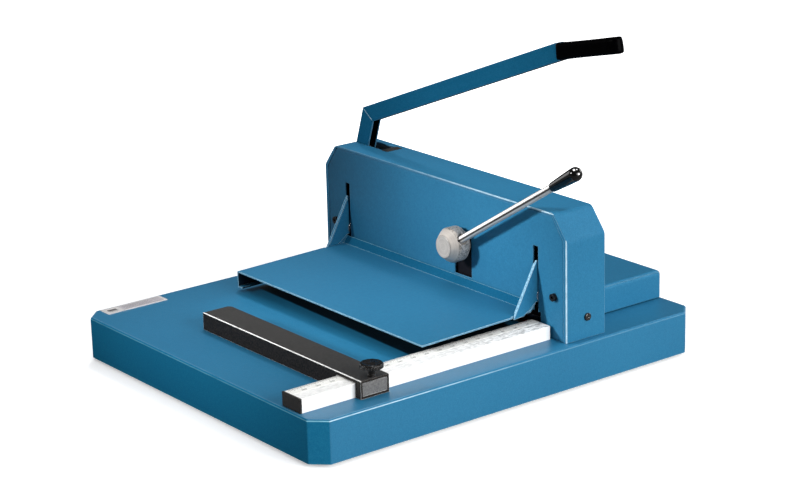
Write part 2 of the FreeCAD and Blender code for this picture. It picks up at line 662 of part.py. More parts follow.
# (distance from the hub axis, radius), closed by a quarter-ellipse end
HANDLE_PROFILE = [(224.3, 0), (224.3, 5.4), (225.6, 6.2), (236, 6.9), (252, 7.9),
                  (266.0, 8.75), (271.7, 8.95)]
END_STEPS = 8
for i in range(1, END_STEPS + 1):
    angle = math.pi / 2 * i / END_STEPS
    HANDLE_PROFILE.append((271.7 + 9.0 * math.sin(angle), 8.95 * math.cos(angle)))
handle = face([V(out, 0, radius) for out, radius in HANDLE_PROFILE])
handle = handle.revolve(V(0, 0, 0), V(1, 0, 0), 360)
handle = handle.cut(rod_cyl(HANDLE_BORE, HANDLE_BORE_L))
save("clamp_handle", along_rod(handle))

# ------------------------------------------------------------------- front guard
PLATE_Y0, PLATE_FOLD_Y, PLATE_T = -95.5, 78.8, 2.0
PLATE_Z = 83.8                                      # underside at the fold
PLATE_DROP = 3.6                                    # the front edge is this much lower
PLATE_FRONT_Z = PLATE_Z - PLATE_DROP
SKIRT_Y1 = 46.6                                     # rear end of the left skirt
SKIRT_TOP = (PLATE_FRONT_Z + 1 +
             PLATE_DROP * (SKIRT_Y1 - PLATE_Y0) / (PLATE_FOLD_Y - PLATE_Y0))

plate = prism_yz([(PLATE_Y0, PLATE_FRONT_Z), (PLATE_FOLD_Y, PLATE_Z), (86.9, 93.4),
                  (85.4, 94.7), (77.9, PLATE_Z + PLATE_T),
                  (PLATE_Y0, PLATE_FRONT_Z + PLATE_T)], -GUARD_HX, GUARD_HX)
plate = fuse(plate,
             prism_yz([(PLATE_Y0, 59.6), (SKIRT_Y1, 61.8), (SKIRT_Y1, SKIRT_TOP),
                       (PLATE_Y0, PLATE_FRONT_Z + 1)], -GUARD_HX, -GUARD_HX + 2),
             prism_yz([(PLATE_Y0, 59.6), (SKIRT_Y1, 61.8), (SKIRT_Y1, 63.8),
                       (PLATE_Y0, 61.6)], -GUARD_HX, -GUARD_HX + 10.5))
plate = fillet(plate, 1.6, lambda mid, way, edge:
               abs(mid.x + GUARD_HX) < 1e-3 and mid.z > 80 and
               runs(way, "y") and edge.Length > 100)
for side in SIDES:
    notch_x0, notch_x1 = span(side, GUARD_HX - 2.7, GUARD_HX + 1)
    plate = plate.cut(box(notch_x0, notch_x1, SKIRT_Y1, 95, 60, 100))
plate.translate(V(GUARD_SHIFT, 0, 0))
save("guard_plate", plate)

# (y, z)
ARM_OUTLINE = [(49, 81.4), (65, 82.4), (74, 88.5), (85.0, 96.5), (94, 96.0),
               (98, 108.0), (91, 140), (89.0, 150), (87.0, 150)]


def guard_arm():
    x0, x1 = GUARD_HX - 2.5, GUARD_HX
    arm = prism_yz(ARM_OUTLINE, x0, x1)
    arm = fuse(arm, cyl(8.0, x0, *GUARD_PIVOT, "x", 2.5))
    # stiffening lip on the sloping front edge
    foot, slope = ARM_OUTLINE[0], toward(ARM_OUTLINE[0], ARM_OUTLINE[-1])
    inward = right_of(slope)
    lip = prism_yz([step(foot, (8.0, slope)), step(foot, (75, slope)),
                    step(foot, (75, slope), (2.0, inward)),
                    step(foot, (8.0, slope), (2.0, inward))], x1 - 3.8, x1 - 0.4)
    lip = lip.cut(box(180, 200, 40, 62, 60, PLATE_Z + PLATE_T + 0.3))
    return fuse(arm, lip).cut(cyl(4.06, x0 - 5, *GUARD_PIVOT, "x", 15))


def guard_pair(right):
    # right and left copies about the shifted centre of the guard
    pair = [right, mirrored(right)]
    for shape in pair:
        shape.translate(V(GUARD_SHIFT, 0, 0))
    return pair


def guard_pin(shift):
    start, end = 190.5 + shift, 222.0
    return cyl(4.0, start, *GUARD_PIVOT, "x", end - start)


def guard_washer(x):
    return cut(cyl(8.2, x, *GUARD_PIVOT, "x", 1.5), cyl(4.0, x - 1, *GUARD_PIVOT, "x", 4))


right_arm, left_arm = guard_pair(guard_arm())
save("guard_arm_right", right_arm)
save("guard_arm_left", left_arm)
save("guard_pivot_pins", guard_pin(GUARD_SHIFT), mirrored(guard_pin(-GUARD_SHIFT)))
save("guard_pin_washers", *guard_pair(guard_washer(192.3)), *guard_pair(guard_washer(196.7)))

# ---------------------------------------------------------------- table fittings
rail = box(RAIL_X0, RAIL_X1, RAIL_Y0, RAIL_Y1, BASE_H, RAIL_TOP)
rail = fillet(rail, 0.8, lambda mid, way, edge: runs(way, "y") and mid.z > BASE_H + 5)
for x0, x1 in ((RAIL_X0 + 2.2, RAIL_MID_X - 6), (RAIL_MID_X + 6, RAIL_X1 - 2.2)):
    rail = rail.cut(box(x0, x1, RAIL_Y0 - 1, RAIL_Y1 + 1, BASE_H + 2.5, RAIL_TOP - 2.2))
for y in RAIL_SCREW_Y:
    rail = rail.cut(cyl(2.0, RAIL_MID_X, y, BASE_H - 1, "z", 13))
save("scale_rail", rail)

# cap on the front end of the rail, with a plug in each hollow
cap = box(RAIL_X0 - 0.2, RAIL_X1 + 0.2, RAIL_Y0 - 3.0, RAIL_Y0, BASE_H + 0.1, RAIL_TOP + 0.2)
cap = fillet(cap, 0.8, on_plane("y", RAIL_Y0 - 3))
plugs = [box(x0, x1, RAIL_Y0 - 1, RAIL_Y0 + 10, BASE_H + 2.8, RAIL_TOP - 2.5)
         for x0, x1 in ((RAIL_X0 + 2.5, RAIL_MID_X - 6.3), (RAIL_MID_X + 6.3, RAIL_X1 - 2.5))]
save("rail_end_cap", fuse(cap, *plugs))
save("rail_screws", *[fuse(cyl(4.5, RAIL_MID_X, y, 49.0, "z", 3.5),
                           cyl(1.95, RAIL_MID_X, y, 52, "z", 12)) for y in RAIL_SCREW_Y])
save("scale_strip", box(RAIL_X0 + 1.6, RAIL_X0 + 16.6, RAIL_Y0 + 2, RAIL_Y1 - 1.5,
                        RAIL_TOP, RAIL_TOP + 0.35))
label = box(-252.0, -230.5, -277.0, -186.5, BASE_H, BASE_H + 0.6)
save("label_plate", fillet(label, 1.5, along("z")))

# -------------------------------------------------------------------- back gauge
GAUGE_X0, GAUGE_X1 = -99.0, 231.0
GAUGE_Y0, GAUGE_Y1 = -217.0, -175.5
GAUGE_Z0, GAUGE_Z1 = 55.2, 78.0
KNOB_X, KNOB_Y = 225.2, -196.2
KNOB_PROFILE = [                                    # (radius, z)
    (0, 78.4), (5.2, 78.4), (5.2, 79.6), (4.0, 80.4), (4.0, 87.2), (5.5, 88.4),
    (13.4, 88.4), (14.5, 89.4), (14.5, 93.2), (13.7, 94.4), (10.5, 95.3), (6.0, 95.8),
    (0, 96.0)]

gauge = box(GAUGE_X0, GAUGE_X1, GAUGE_Y0, GAUGE_Y1, GAUGE_Z0, GAUGE_Z1)
gauge = fillet(gauge, 7.0, lambda mid, way, edge:
               runs(way, "z") and mid.x < 0 and mid.y > -190)
gauge = fillet(gauge, 1.2, on_plane("z", GAUGE_Z1))
gauge = cut(gauge,
            # hollow underside, rail passage, end plate recess, screw hole
            box(GAUGE_X0 + 12, RAIL_X0 - 6, GAUGE_Y0 + 3, GAUGE_Y1 - 3,
                GAUGE_Z0 - 1, GAUGE_Z1 - 3.2),
            box(RAIL_X0 - 0.5, RAIL_X1 + 0.5, GAUGE_Y0 - 1, GAUGE_Y1 + 1,
                GAUGE_Z0 - 1, RAIL_TOP + 0.7),
            box(GAUGE_X1 - 1.4, GAUGE_X1 + 1, GAUGE_Y0 + 3.4, GAUGE_Y1 - 3.4,
                GAUGE_Z0 + 3.6, GAUGE_Z1 - 3.4),
            cyl(2.65, KNOB_X, KNOB_Y, 60, "z", 30))
save("gauge_bar", gauge)
insert = box(GAUGE_X1 - 1.4, GAUGE_X1 + 0.3, GAUGE_Y0 + 3.7, GAUGE_Y1 - 3.7,
             GAUGE_Z0 + 3.9, GAUGE_Z1 - 3.7)
save("gauge_end_plate", fillet(insert, 0.6, on_plane("x", GAUGE_X1 + 0.3)))
knob = face([V(KNOB_X + radius, KNOB_Y, z) for radius, z in KNOB_PROFILE])
knob = knob.revolve(V(KNOB_X, KNOB_Y, 0), V(0, 0, 1), 360)
save("gauge_knob", knob.cut(cyl(2.5, KNOB_X, KNOB_Y, 70, "z", 19)))
save("gauge_clamp_screw", cyl(2.5, KNOB_X, KNOB_Y, 62, "z", 27))

# -------------------------------------------------------------------- rear cover
COVER_HX, COVER_Y0, COVER_Y1 = 195.0, 158.0, 298.5
COVER_Z0, COVER_Z1, COVER_T = 56.5, 92.5, 1.8
HINGE_X = (-160.0, 160.0)
HINGE_Y, HINGE_Z = 155.5, 88.5
KNUCKLE_R = 3.0

cover = box(-COVER_HX, COVER_HX, COVER_Y0, COVER_Y1, COVER_Z0, COVER_Z1)
cover = fillet(cover, 6.0, lambda mid, way, edge:
               (abs(mid.z - COVER_Z1) < 1e-3 and mid.y > COVER_Y0 + 1) or
               (runs(way, "z") and mid.y > 250))
cover = cover.cut(box(-COVER_HX + COVER_T, COVER_HX - COVER_T, COVER_Y0 - 1,
                      COVER_Y1 - COVER_T, COVER_Z0 - 1, COVER_Z1 - COVER_T))
for x in HINGE_X:
    cover = cover.cut(box(x - 11, x + 0.1, COVER_Y0 - 1, COVER_Y0 + 9.0,
                          COVER_Z1 - 9, COVER_Z1 + 1))
save("rear_cover", cover)


def cover_knuckle(x):
    # hung from the top sheet of the cover
    knuckle = fuse(cyl(KNUCKLE_R, x + 0.2, HINGE_Y, HINGE_Z, "x", 9.8),
                   box(x + 0.2, x + 10, HINGE_Y, 172, HINGE_Z + 0.4, COVER_Z1 - COVER_T))
    return knuckle.cut(cyl(1.56, x - 1, HINGE_Y, HINGE_Z, "x", 12))


def bridge_leaf(x):
    # knuckle of the bridge, with a leaf on the rear panel
    z0 = HINGE_Z - 0.5
    leaf = fuse(cyl(KNUCKLE_R, x - 10, HINGE_Y, HINGE_Z, "x", 9.8),
                box(x - 10, x - 0.2, BRIDGE_Y1, BRIDGE_Y1 + 3.0, z0, 105),
                box(x - 10, x - 0.2, BRIDGE_Y1, HINGE_Y, z0, HINGE_Z + 3.0))
    return leaf.cut(cyl(1.5, x - 11, HINGE_Y, HINGE_Z, "x", 12))


save("cover_hinge_knuckles", *[cover_knuckle(x) for x in HINGE_X])
save("bridge_hinge_leaves", *[bridge_leaf(x) for x in HINGE_X])
save("cover_hinge_pins", *[cyl(1.5, x - 10, HINGE_Y, HINGE_Z, "x", 20) for x in HINGE_X])
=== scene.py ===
# A bench cutter with a hand lever: a blue table with a guard plate, a hooded bridge with the
# lever in it, a gauge bar with a scale, and a clamp. X runs left to right, the front faces -Y,
# Z is up, and the feet stand near z = 0.
import math

import bmesh
import bpy
from mathutils import Matrix, Vector


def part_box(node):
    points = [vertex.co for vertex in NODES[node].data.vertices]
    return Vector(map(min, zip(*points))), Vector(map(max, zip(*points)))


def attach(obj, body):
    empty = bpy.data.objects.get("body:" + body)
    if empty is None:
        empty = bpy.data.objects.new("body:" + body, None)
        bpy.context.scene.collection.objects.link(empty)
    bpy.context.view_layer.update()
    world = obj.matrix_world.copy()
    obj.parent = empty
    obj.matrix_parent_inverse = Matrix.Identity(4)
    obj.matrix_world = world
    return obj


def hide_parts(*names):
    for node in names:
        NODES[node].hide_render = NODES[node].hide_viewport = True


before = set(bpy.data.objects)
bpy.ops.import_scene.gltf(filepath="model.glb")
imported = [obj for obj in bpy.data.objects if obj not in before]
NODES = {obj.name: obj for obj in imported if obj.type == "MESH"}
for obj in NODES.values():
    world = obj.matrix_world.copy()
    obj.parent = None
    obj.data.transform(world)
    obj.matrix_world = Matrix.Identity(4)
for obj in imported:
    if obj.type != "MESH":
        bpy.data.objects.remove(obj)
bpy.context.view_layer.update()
scene = bpy.context.scene
scene.view_settings.view_transform = "Standard"
scene.view_settings.look = "None"

MM = 0.001

# ------------------------------------------------ shared dimensions, in mm and radians
# clamp rod: it starts at the hub and rises to the right
HUB_X, HUB_Z = 48.0, 141.0
ROD_Y = 71.5
ROD_ANGLE = math.radians(31.1)

# cutting lever: a leg and an arm that meet at the outer corner
CORNER_X, LEVER_Y, CORNER_Z = -202.5, 127.5, 267.5
LEVER_HALF_WIDTH = 7.0
LEG_ANGLE = math.radians(18.5)       # from upright
LEG_DEPTH = 26.0
ARM_ANGLE = math.radians(21.0)       # from level
ARM_DEPTH, ARM_LENGTH = 22.5, 420.4
GRIP_ANGLE = math.radians(13.0)      # from level
GRIP_LENGTH = 108.0

CUT_Y = 107.0                        # zero of the scale


def srgb(r, g, b):
    """sRGB 0..255 to a linear colour."""
    out = []
    for v in (r, g, b):
        v /= 255.0
        out.append(v / 12.92 if v <= 0.04045 else ((v + 0.055) / 1.055) ** 2.4)
    return (*out, 1.0)


PAINT_A = srgb(33, 104, 141)
PAINT_B = srgb(37, 110, 147)
PAINT_DARK = srgb(14, 74, 107)
PAINT_LIGHT = srgb(68, 144, 179)


# ------------------------------------------------------------------ shader builder
class Signal:
    """A node output. Arithmetic on it adds Math nodes, operands in reading order."""

    def __init__(self, shader, socket):
        self.shader = shader
        self.socket = socket

    def __add__(self, other):
        return self.shader.math("ADD", self, other)

    def __sub__(self, other):
        return self.shader.math("SUBTRACT", self, other)

    def __rsub__(self, other):
        return self.shader.math("SUBTRACT", other, self)

    def __mul__(self, other):
        return self.shader.math("MULTIPLY", self, other)

    def __gt__(self, other):
        return self.shader.math("GREATER_THAN", self, other)

    def __lt__(self, other):
        return self.shader.math("LESS_THAN", self, other)

    def __abs__(self):
        return self.shader.math("ABSOLUTE", self)

    def sqrt(self):
        return self.shader.math("SQRT", self)

    def maximum(self, other):
        return self.shader.math("MAXIMUM", self, other)

    def near(self, value, within):
        """1 where the signal is within a distance of a value."""
        return self.shader.math("COMPARE", self, value, within)

    def ramp(self, span, to, interpolation="LINEAR"):
        """Maps the input span to the output span, clamped."""
        inputs = {0: self, 1: span[0], 2: span[1], 3: to[0], 4: to[1]}
        return self.shader.add("ShaderNodeMapRange", inputs, interpolation_type=interpolation)

    def rise(self, start, end):
        """0 up to start, 1 from end on."""
        return self.ramp((start, end), to=(0.0, 1.0))

    def fade(self, start, end):
        """1 up to start, 0 from end on."""
        return self.ramp((start, end), to=(1.0, 0.0))


class Shader:
    """Builds one Principled material whose patterns are in the part's own metres."""

    def __init__(self, name):
        self.material = bpy.data.materials.new(name)
        self.material.use_nodes = True
        self.tree = self.material.node_tree
        self.tree.nodes.clear()
        output = self.tree.nodes.new("ShaderNodeOutputMaterial")
        self.surface = self.tree.nodes.new("ShaderNodeBsdfPrincipled")
        self.tree.links.new(self.surface.outputs[0], output.inputs[0])
        self.place = self.add("ShaderNodeTexCoord", output="Object")

    def feed(self, socket, value):
        if isinstance(value, Signal):
            self.tree.links.new(value.socket, socket)
        else:
            socket.default_value = value

    def add(self, kind, inputs=(), output=0, **settings):
        """Adds a node, feeds its inputs from {socket: value} and gives one output."""
        node = self.tree.nodes.new(kind)
        for key, value in settings.items():
            setattr(node, key, value)
        for key, value in dict(inputs).items():
            self.feed(node.inputs[key], value)
        return Signal(self, node.outputs[output])

    def math(self, operation, first, second=0.0, third=0.0):
        return self.add("ShaderNodeMath", {0: first, 1: second, 2: third}, operation=operation)

    def noise(self, scale, detail=2.0, rough=0.5, at=None, stretch=None):
        """Noise at a position; a small stretch factor draws it out along that axis."""
        at = at or self.place
        if stretch:
            at = self.add("ShaderNodeVectorMath", {0: at, 1: stretch}, operation="MULTIPLY")
        return self.add("ShaderNodeTexNoise", {"Vector": at, "Scale": scale, "Detail": detail,
                                               "Roughness": rough})

    def split(self, signal, kind="ShaderNodeSeparateXYZ"):
        """The three parts of a vector or a colour."""
        node = self.add(kind, {0: signal}).socket.node
        return [Signal(self, socket) for socket in node.outputs]

    def xyz(self):
        return self.split(self.place)

    def combine(self, x, y, z=0.0):
        return self.add("ShaderNodeCombineXYZ", {0: x, 1: y, 2: z})

    def normal(self):
        return self.add("ShaderNodeNewGeometry", output="Normal")

    def facing(self):
        """The x, y and z of the surface normal."""
        return self.split(self.normal())

    def facing_front(self):
        return self.facing()[1] * -1.0

    def openness(self, distance):
        """1 in the open, near 0 close to another surface."""
        return self.add("ShaderNodeAmbientOcclusion", {"Distance": distance}, "AO", samples=12)

    def mix(self, factor, a, b):
        return self.add("ShaderNodeMix", {0: factor, 6: a, 7: b}, 2, data_type="RGBA",
                        blend_type="MIX")

    def tint(self, color, by):
        """A colour with each of its channels multiplied."""
        parts = self.split(color, "ShaderNodeSeparateColor")
        return self.add("ShaderNodeCombineColor", {i: parts[i] * by[i] for i in range(3)})

    def rounded(self, radius):
        """A normal that rounds the edges off."""
        return self.add("ShaderNodeBevel", {"Radius": radius}, samples=6)

    def edged(self, color, edge_color, amount, radius=0.0008, span=(0.02, 0.30), wear=0.0,
              wear_scale=180.0):
        """The colour with its edges recoloured, and the rounded normal.

        span is how far the rounded normal turns from none to full edge colour, and wear
        is how much noise takes out of it."""
        # a lighter edge colour is partly worn edges and partly a painted edge highlight
        normal = self.rounded(radius)
        turn = self.add("ShaderNodeVectorMath", {0: normal, 1: self.normal()}, "Value",
                        operation="DOT_PRODUCT")
        edge = (1.0 - turn).rise(*span)
        if wear:
            patches = self.noise(scale=wear_scale, detail=3.0)
            edge = edge * patches.ramp((0.38, 0.62), to=(1.0 - wear, 1.0))
        return self.mix(edge * amount, color, edge_color), normal

    def bump(self, height, strength, distance=0.0003, normal=None):
        inputs = {"Strength": strength, "Distance": distance, "Height": height}
        if normal is not None:
            inputs["Normal"] = normal
        return self.add("ShaderNodeBump", inputs)

    def finish(self, color, rough, normal, metal=0.0, **more):
        """Feeds the surface; further inputs are named with underscores for spaces."""
        inputs = {"Base_Color": color, "Roughness": rough, "Metallic": metal, "Normal": normal}
        for key, value in {**inputs, **more}.items():
            self.feed(self.surface.inputs[key.replace("_", " ")], value)
        return self.material


# ------------------------------------------------------- masks for the painted parts
def fold_lines(m):
    """Painted highlight: 1 low on the bends round level edges, fainter where the bend meets the
    top.
    """
    nx, _, nz = m.facing()
    low = nz.rise(0.05, 0.16) * nz.fade(0.36, 0.52)
    top = nz.rise(0.90, 0.94) * nz.ramp((0.975, 0.99), to=(0.55, 0.0))
    line = (low + top) * nx.ramp((0.15, 0.5), to=(0.30, 0.9))
    line = line * m.xyz()[1].ramp((-0.20, 0.06), to=(1.0, 0.12))
    return line * m.noise(scale=45.0, detail=3.0, rough=0.6).ramp((0.32, 0.6), to=(0.55, 1.0))


def hood_lines(m):
    """Painted highlight: 1 on the hood's front top edge, stronger to the right, and on its
    front right edge.
    """
    lo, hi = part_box("hood")
    x, y, z = m.xyz()
    front = (y - lo.y).fade(0.0010, 0.0016)
    top = (hi.z - z).fade(0.0012, 0.0018) * x.ramp((-0.10, 0.14), to=(0.06, 0.75))
    side = (hi.x - x).fade(0.0010, 0.0016) * 0.95
    patches = m.noise(scale=60.0, detail=3.0, rough=0.6).ramp((0.32, 0.6), to=(0.6, 1.0))
    return front * top.maximum(side) * patches


def lever_inside(m):
    """Painted shade: 1 in the lever's open channel, between its flanges and behind its web."""
    x, y, z = m.xyz()
    x = x - CORNER_X * MM
    z = z - CORNER_Z * MM
    leg = x * math.cos(LEG_ANGLE) + z * -math.sin(LEG_ANGLE)
    arm = x * math.sin(ARM_ANGLE) + z * -math.cos(ARM_ANGLE)
    return (leg > 0.001) * (arm > 0.001) * y.near(LEVER_Y * MM, within=0.0052)


def arm_inside(m):
    """Painted shade: 1 on the part of a guard arm that sits inside the bridge."""
    return m.xyz()[1].rise(0.0875, 0.0900)


def arm_lip(m):
    """Painted highlight: 1 on the front folded lip of a guard arm."""
    return m.facing_front().rise(0.25, 0.6)


def panel_shade(m):
    """Part shade on the left end of the front panel, fading towards the middle."""
    x, _, z = m.xyz()
    return x.fade(-0.235, -0.06) * z.ramp((0.09, 0.19), to=(0.22, 0.42))


def behind_guard_edge(x, y):
    """Distance behind the guard plate's front edge, which runs slightly askew."""
    return y + x * 0.0337 + 0.0755


def off_table_middle(x):
    return abs(x + 0.004)


def on_table_top(z):
    return z.rise(0.050, 0.052)


def under_guard(m):
    """1 on the table under the guard plate, which lies in deep shade."""
    x, y, z = m.xyz()
    shade = behind_guard_edge(x, y).rise(-0.0012, 0.0016) * on_table_top(z)
    shade = shade * y.fade(0.080, 0.084)
    # only where the plate is close above, so that it clears when the guard is tilted up
    shade = shade * m.openness(distance=0.1).fade(0.34, 0.52)
    return shade * off_table_middle(x).fade(0.184, 0.192)


def before_guard(m):
    """Painted light: 1 on the table just in front of that shade, fading forwards."""
    x, y, z = m.xyz()
    painted_light = behind_guard_edge(x, y).rise(-0.115, -0.03) * on_table_top(z)
    return painted_light * off_table_middle(x).ramp((0.160, 0.200), to=(0.8, 0.0))


def plate_edge(m):
    """Painted highlight: 1 on the cut front edge of the guard plate."""
    return m.facing_front().rise(0.5, 0.85) * m.xyz()[1].fade(-0.092, -0.090)


def plate_under(m):
    """Painted shade: 1 under the guard plate and on the inner face of its left flange."""
    nx, _, nz = m.facing()
    x, _, z = m.xyz()
    close = m.openness(distance=0.1).fade(0.45, 0.8)
    under = (nz * -1.0).rise(0.5, 0.8) * close
    left = nx.rise(0.5, 0.8) * x.fade(-0.19, -0.188)
    return under.maximum(left * 0.93) * (z > 0.0600)


def gauge_line(m):
    """Painted highlight: 1 along the top front edge of the gauge bar, broken up by noise."""
    lo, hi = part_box("gauge_bar")
    _, y, z = m.xyz()
    line = (hi.z - z).fade(0.0005, 0.0010) * (y - lo.y).fade(0.0010, 0.0015)
    return line * m.noise(scale=90.0, detail=3.0).ramp((0.3, 0.5), to=(0.6, 1.0))


# ------------------------------------------------------------------- materials
def blue_paint(name="paint_blue", shade=None, painted_highlight=None, lines=None, painted_light=None, dim=None,
               edge_amount=0.95, specular=0.16, rough=(0.46, 0.60), front_shade=0.0,
               front_shade_tint=(0.25, 1.0, 1.02)):
    """Satin textured powder coat, with painted highlights on its bent and cut edges.

    shade, painted_highlight, lines and painted_light are masks for painted shade, painted
    highlights, painted highlight lines and painted light. front_shade is how much of
    front_shade_tint the front faces take, as painted shade; dim tints the whole."""
    m = Shader(name)
    medium = m.noise(scale=210.0, detail=3.0, rough=0.65)
    fine = m.noise(scale=620.0, rough=0.6)
    color = m.mix(m.noise(scale=4.5).rise(0.3, 0.7), PAINT_A, PAINT_B)
    color = m.mix(medium.ramp((0.32, 0.68), to=(0.0, 0.18)), color, PAINT_DARK)
    color = m.mix(fine.ramp((0.42, 0.72), to=(0.0, 0.20)), color, PAINT_LIGHT)
    # the edge colour is a painted edge highlight, partly standing for worn edges
    color, normal = m.edged(color, srgb(186, 222, 238), amount=edge_amount, radius=0.0016,
                            span=(0.008, 0.11), wear=0.35, wear_scale=120.0)
    # lines: painted highlight lines along bends and edges
    if lines:
        color = m.mix(lines(m), color, srgb(196, 226, 240))
    # painted shade: front faces take a tint, less red by default, and lose their specular
    if front_shade:
        front = m.facing_front().rise(0.4, 0.7)
        color = m.mix(front * front_shade, color, m.tint(color, front_shade_tint))
        specular = (1.0 - front) * specular
    # painted light: a brighter tint where the mask is
    if painted_light:
        color = m.mix(painted_light(m), color, m.tint(color, (1.08, 1.26, 1.28)))
    # painted highlight on cut edges and lips, broken up by noise
    if painted_highlight:
        highlight_breakup = m.noise(scale=420.0, detail=3.0).ramp((0.38, 0.6), to=(0.25, 0.85))
        color = m.mix(painted_highlight(m) * highlight_breakup, color, srgb(150, 198, 222))
    if shade:
        color = m.mix(shade(m) * 0.97, color, srgb(6, 9, 12))
    # dim: a darker tint over the whole part, painted shade where it is used
    if dim:
        color = m.tint(color, dim)
    normal = m.bump(medium * 0.5 + fine, strength=0.34, distance=0.0004, normal=normal)
    return m.finish(color, fine.ramp((0.3, 0.7), to=rough), normal, Specular_IOR_Level=specular)


def rear_panel_paint():
    """Blue outside, thin grey primer on the front face, seen through the lever's opening."""
    m = Shader("paint_blue_rear_panel")
    front = m.facing_front().rise(0.4, 0.6)
    grain = m.noise(scale=500.0)
    primer = m.mix(grain, srgb(132, 128, 128), srgb(176, 172, 172))
    speckle = m.noise(scale=620.0, rough=0.6).ramp((0.42, 0.72), to=(0.0, 0.16))
    paint = m.mix(speckle, PAINT_A, PAINT_LIGHT)
    paint, normal = m.edged(paint, srgb(176, 216, 234), amount=0.8, radius=0.0013,
                            span=(0.015, 0.16), wear=0.45, wear_scale=120.0)
    return m.finish(m.mix(front, paint, primer), rough=0.56,
                    normal=m.bump(grain, strength=0.12, normal=normal),
                    Specular_IOR_Level=0.13)


def brushed(name, color_a, color_b, rough, metal, stretch, edge_color=None, bump=0.05):
    """Metal with draw or grind lines; stretch is small along the lines."""
    m = Shader(name)
    lines = m.noise(scale=900.0, detail=3.0, rough=0.7, stretch=stretch)
    clouds = m.noise(scale=14.0, detail=3.0, rough=0.6)
    color = m.mix(lines.rise(0.3, 0.7), color_a, color_b)
    color = m.mix(clouds.ramp((0.35, 0.7), to=(0.0, 0.25)), color, color_b)
    if edge_color:
        color, normal = m.edged(color, edge_color, amount=0.8, span=(0.03, 0.35), wear=0.3)
    else:
        normal = m.rounded(radius=0.0008)
    roughness = (lines + clouds * 0.5).ramp((0.5, 1.0), to=(rough * 0.8, rough * 1.3))
    return m.finish(color, roughness, m.bump(lines, strength=bump, normal=normal), metal)


def zinc_plate():
    """Zinc-passivated plate: faint spangle and rolling marks."""
    m = Shader("zinc_plate")
    spangle = m.add("ShaderNodeTexVoronoi", {"Vector": m.place, "Scale": 95.0}, "Distance")
    lines = m.noise(scale=700.0, stretch=(1.0, 1.0, 0.08))
    color = m.mix(spangle.rise(0.0, 0.8), srgb(150, 154, 158), srgb(186, 190, 193))
    color = m.mix(lines.ramp((0.4, 0.7), to=(0.0, 0.25)), color, srgb(120, 122, 124))
    color, normal = m.edged(color, srgb(214, 216, 218), amount=0.6, wear=0.4)
    return m.finish(color, spangle.ramp((0.0, 1.0), to=(0.34, 0.5)),
                    m.bump(lines, strength=0.08, normal=normal), metal=0.85)


def black_oxide():
    m = Shader("black_oxide")
    clouds = m.noise(scale=160.0, detail=4.0, rough=0.6)
    color = m.mix(clouds, srgb(22, 22, 24), srgb(40, 40, 42))
    color, normal = m.edged(color, srgb(150, 150, 150), amount=0.55, radius=0.0004,
                            span=(0.04, 0.3), wear=0.5)
    grain = m.noise(scale=900.0, detail=3.0)
    normal = m.bump(grain, strength=0.12, distance=0.0002, normal=normal)
    return m.finish(color, clouds.ramp((0.3, 0.7), to=(0.28, 0.42)), normal, metal=0.7)


def black_primer():
    """Near-black on the parts inside the bridge: painted shade for the dark seen through the
    slots.
    """
    m = Shader("black_primer")
    clouds = m.noise(scale=120.0, detail=4.0, rough=0.6)
    color = m.mix(clouds, srgb(4, 4, 8), srgb(16, 15, 22))
    color, normal = m.edged(color, srgb(60, 61, 64), amount=0.4, radius=0.0006,
                            span=(0.04, 0.3), wear=0.6)
    grain = m.noise(scale=700.0, detail=3.0)
    normal = m.bump(grain, strength=0.1, distance=0.0002, normal=normal)
    return m.finish(color, clouds.ramp((0.3, 0.7), to=(0.45, 0.6)), normal,
                    Specular_IOR_Level=0.10)


def sintered_bronze():
    m = Shader("sintered_bronze")
    pores = m.noise(scale=1500.0)
    clouds = m.noise(scale=60.0, detail=3.0)
    color = m.mix(clouds, srgb(160, 116, 60), srgb(196, 152, 92))
    color = m.mix(pores.ramp((0.55, 0.75), to=(0.0, 0.5)), color, srgb(96, 66, 32))
    normal = m.bump(pores, strength=0.2, distance=0.0002, normal=m.rounded(radius=0.0005))
    return m.finish(color, rough=0.42, normal=normal, metal=0.9)


def turned_aluminium():
    """Lathe marks: rings round the hub's own axis, along Y."""
    m = Shader("turned_aluminium")
    lo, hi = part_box("clamp_hub")
    to_axis = (-(lo.x + hi.x) / 2, 0.0, -(lo.z + hi.z) / 2)
    x, y, z = m.split(m.add("ShaderNodeVectorMath", {0: m.place, 1: to_axis}, operation="ADD"))
    radius = (x * x + z * z).sqrt()
    rings = m.noise(scale=1500.0, detail=3.0, rough=0.7, at=m.combine(radius, y))
    swirl = m.noise(scale=90.0, detail=3.0, rough=0.6)
    color = m.mix(rings.rise(0.3, 0.7), srgb(148, 141, 134), srgb(196, 189, 182))
    color = m.mix(swirl.ramp((0.35, 0.7), to=(0.0, 0.4)), color, srgb(206, 199, 192))
    # a slightly darker line round the front face, where its edge is broken
    band = radius.near(0.0146, within=0.0007)
    color = m.mix(band * (y < lo.y + 0.002) * 0.55, color, srgb(96, 94, 92))
    # dark patches round the side, coarser than the rings on the face: a painted reflection
    marks = m.noise(scale=420.0, detail=3.0, rough=0.75).rise(0.46, 0.58)
    color = m.mix(marks * (y > lo.y + 0.009) * 0.75, color, srgb(72, 69, 66))
    color, normal = m.edged(color, srgb(252, 250, 246), amount=0.75, radius=0.0012,
                            span=(0.02, 0.2), wear=0.3)
    return m.finish(color, rings.ramp((0.3, 0.7), to=(0.30, 0.46)),
                    m.bump(rings, strength=0.3, normal=normal), metal=0.22, Anisotropic=0.4)


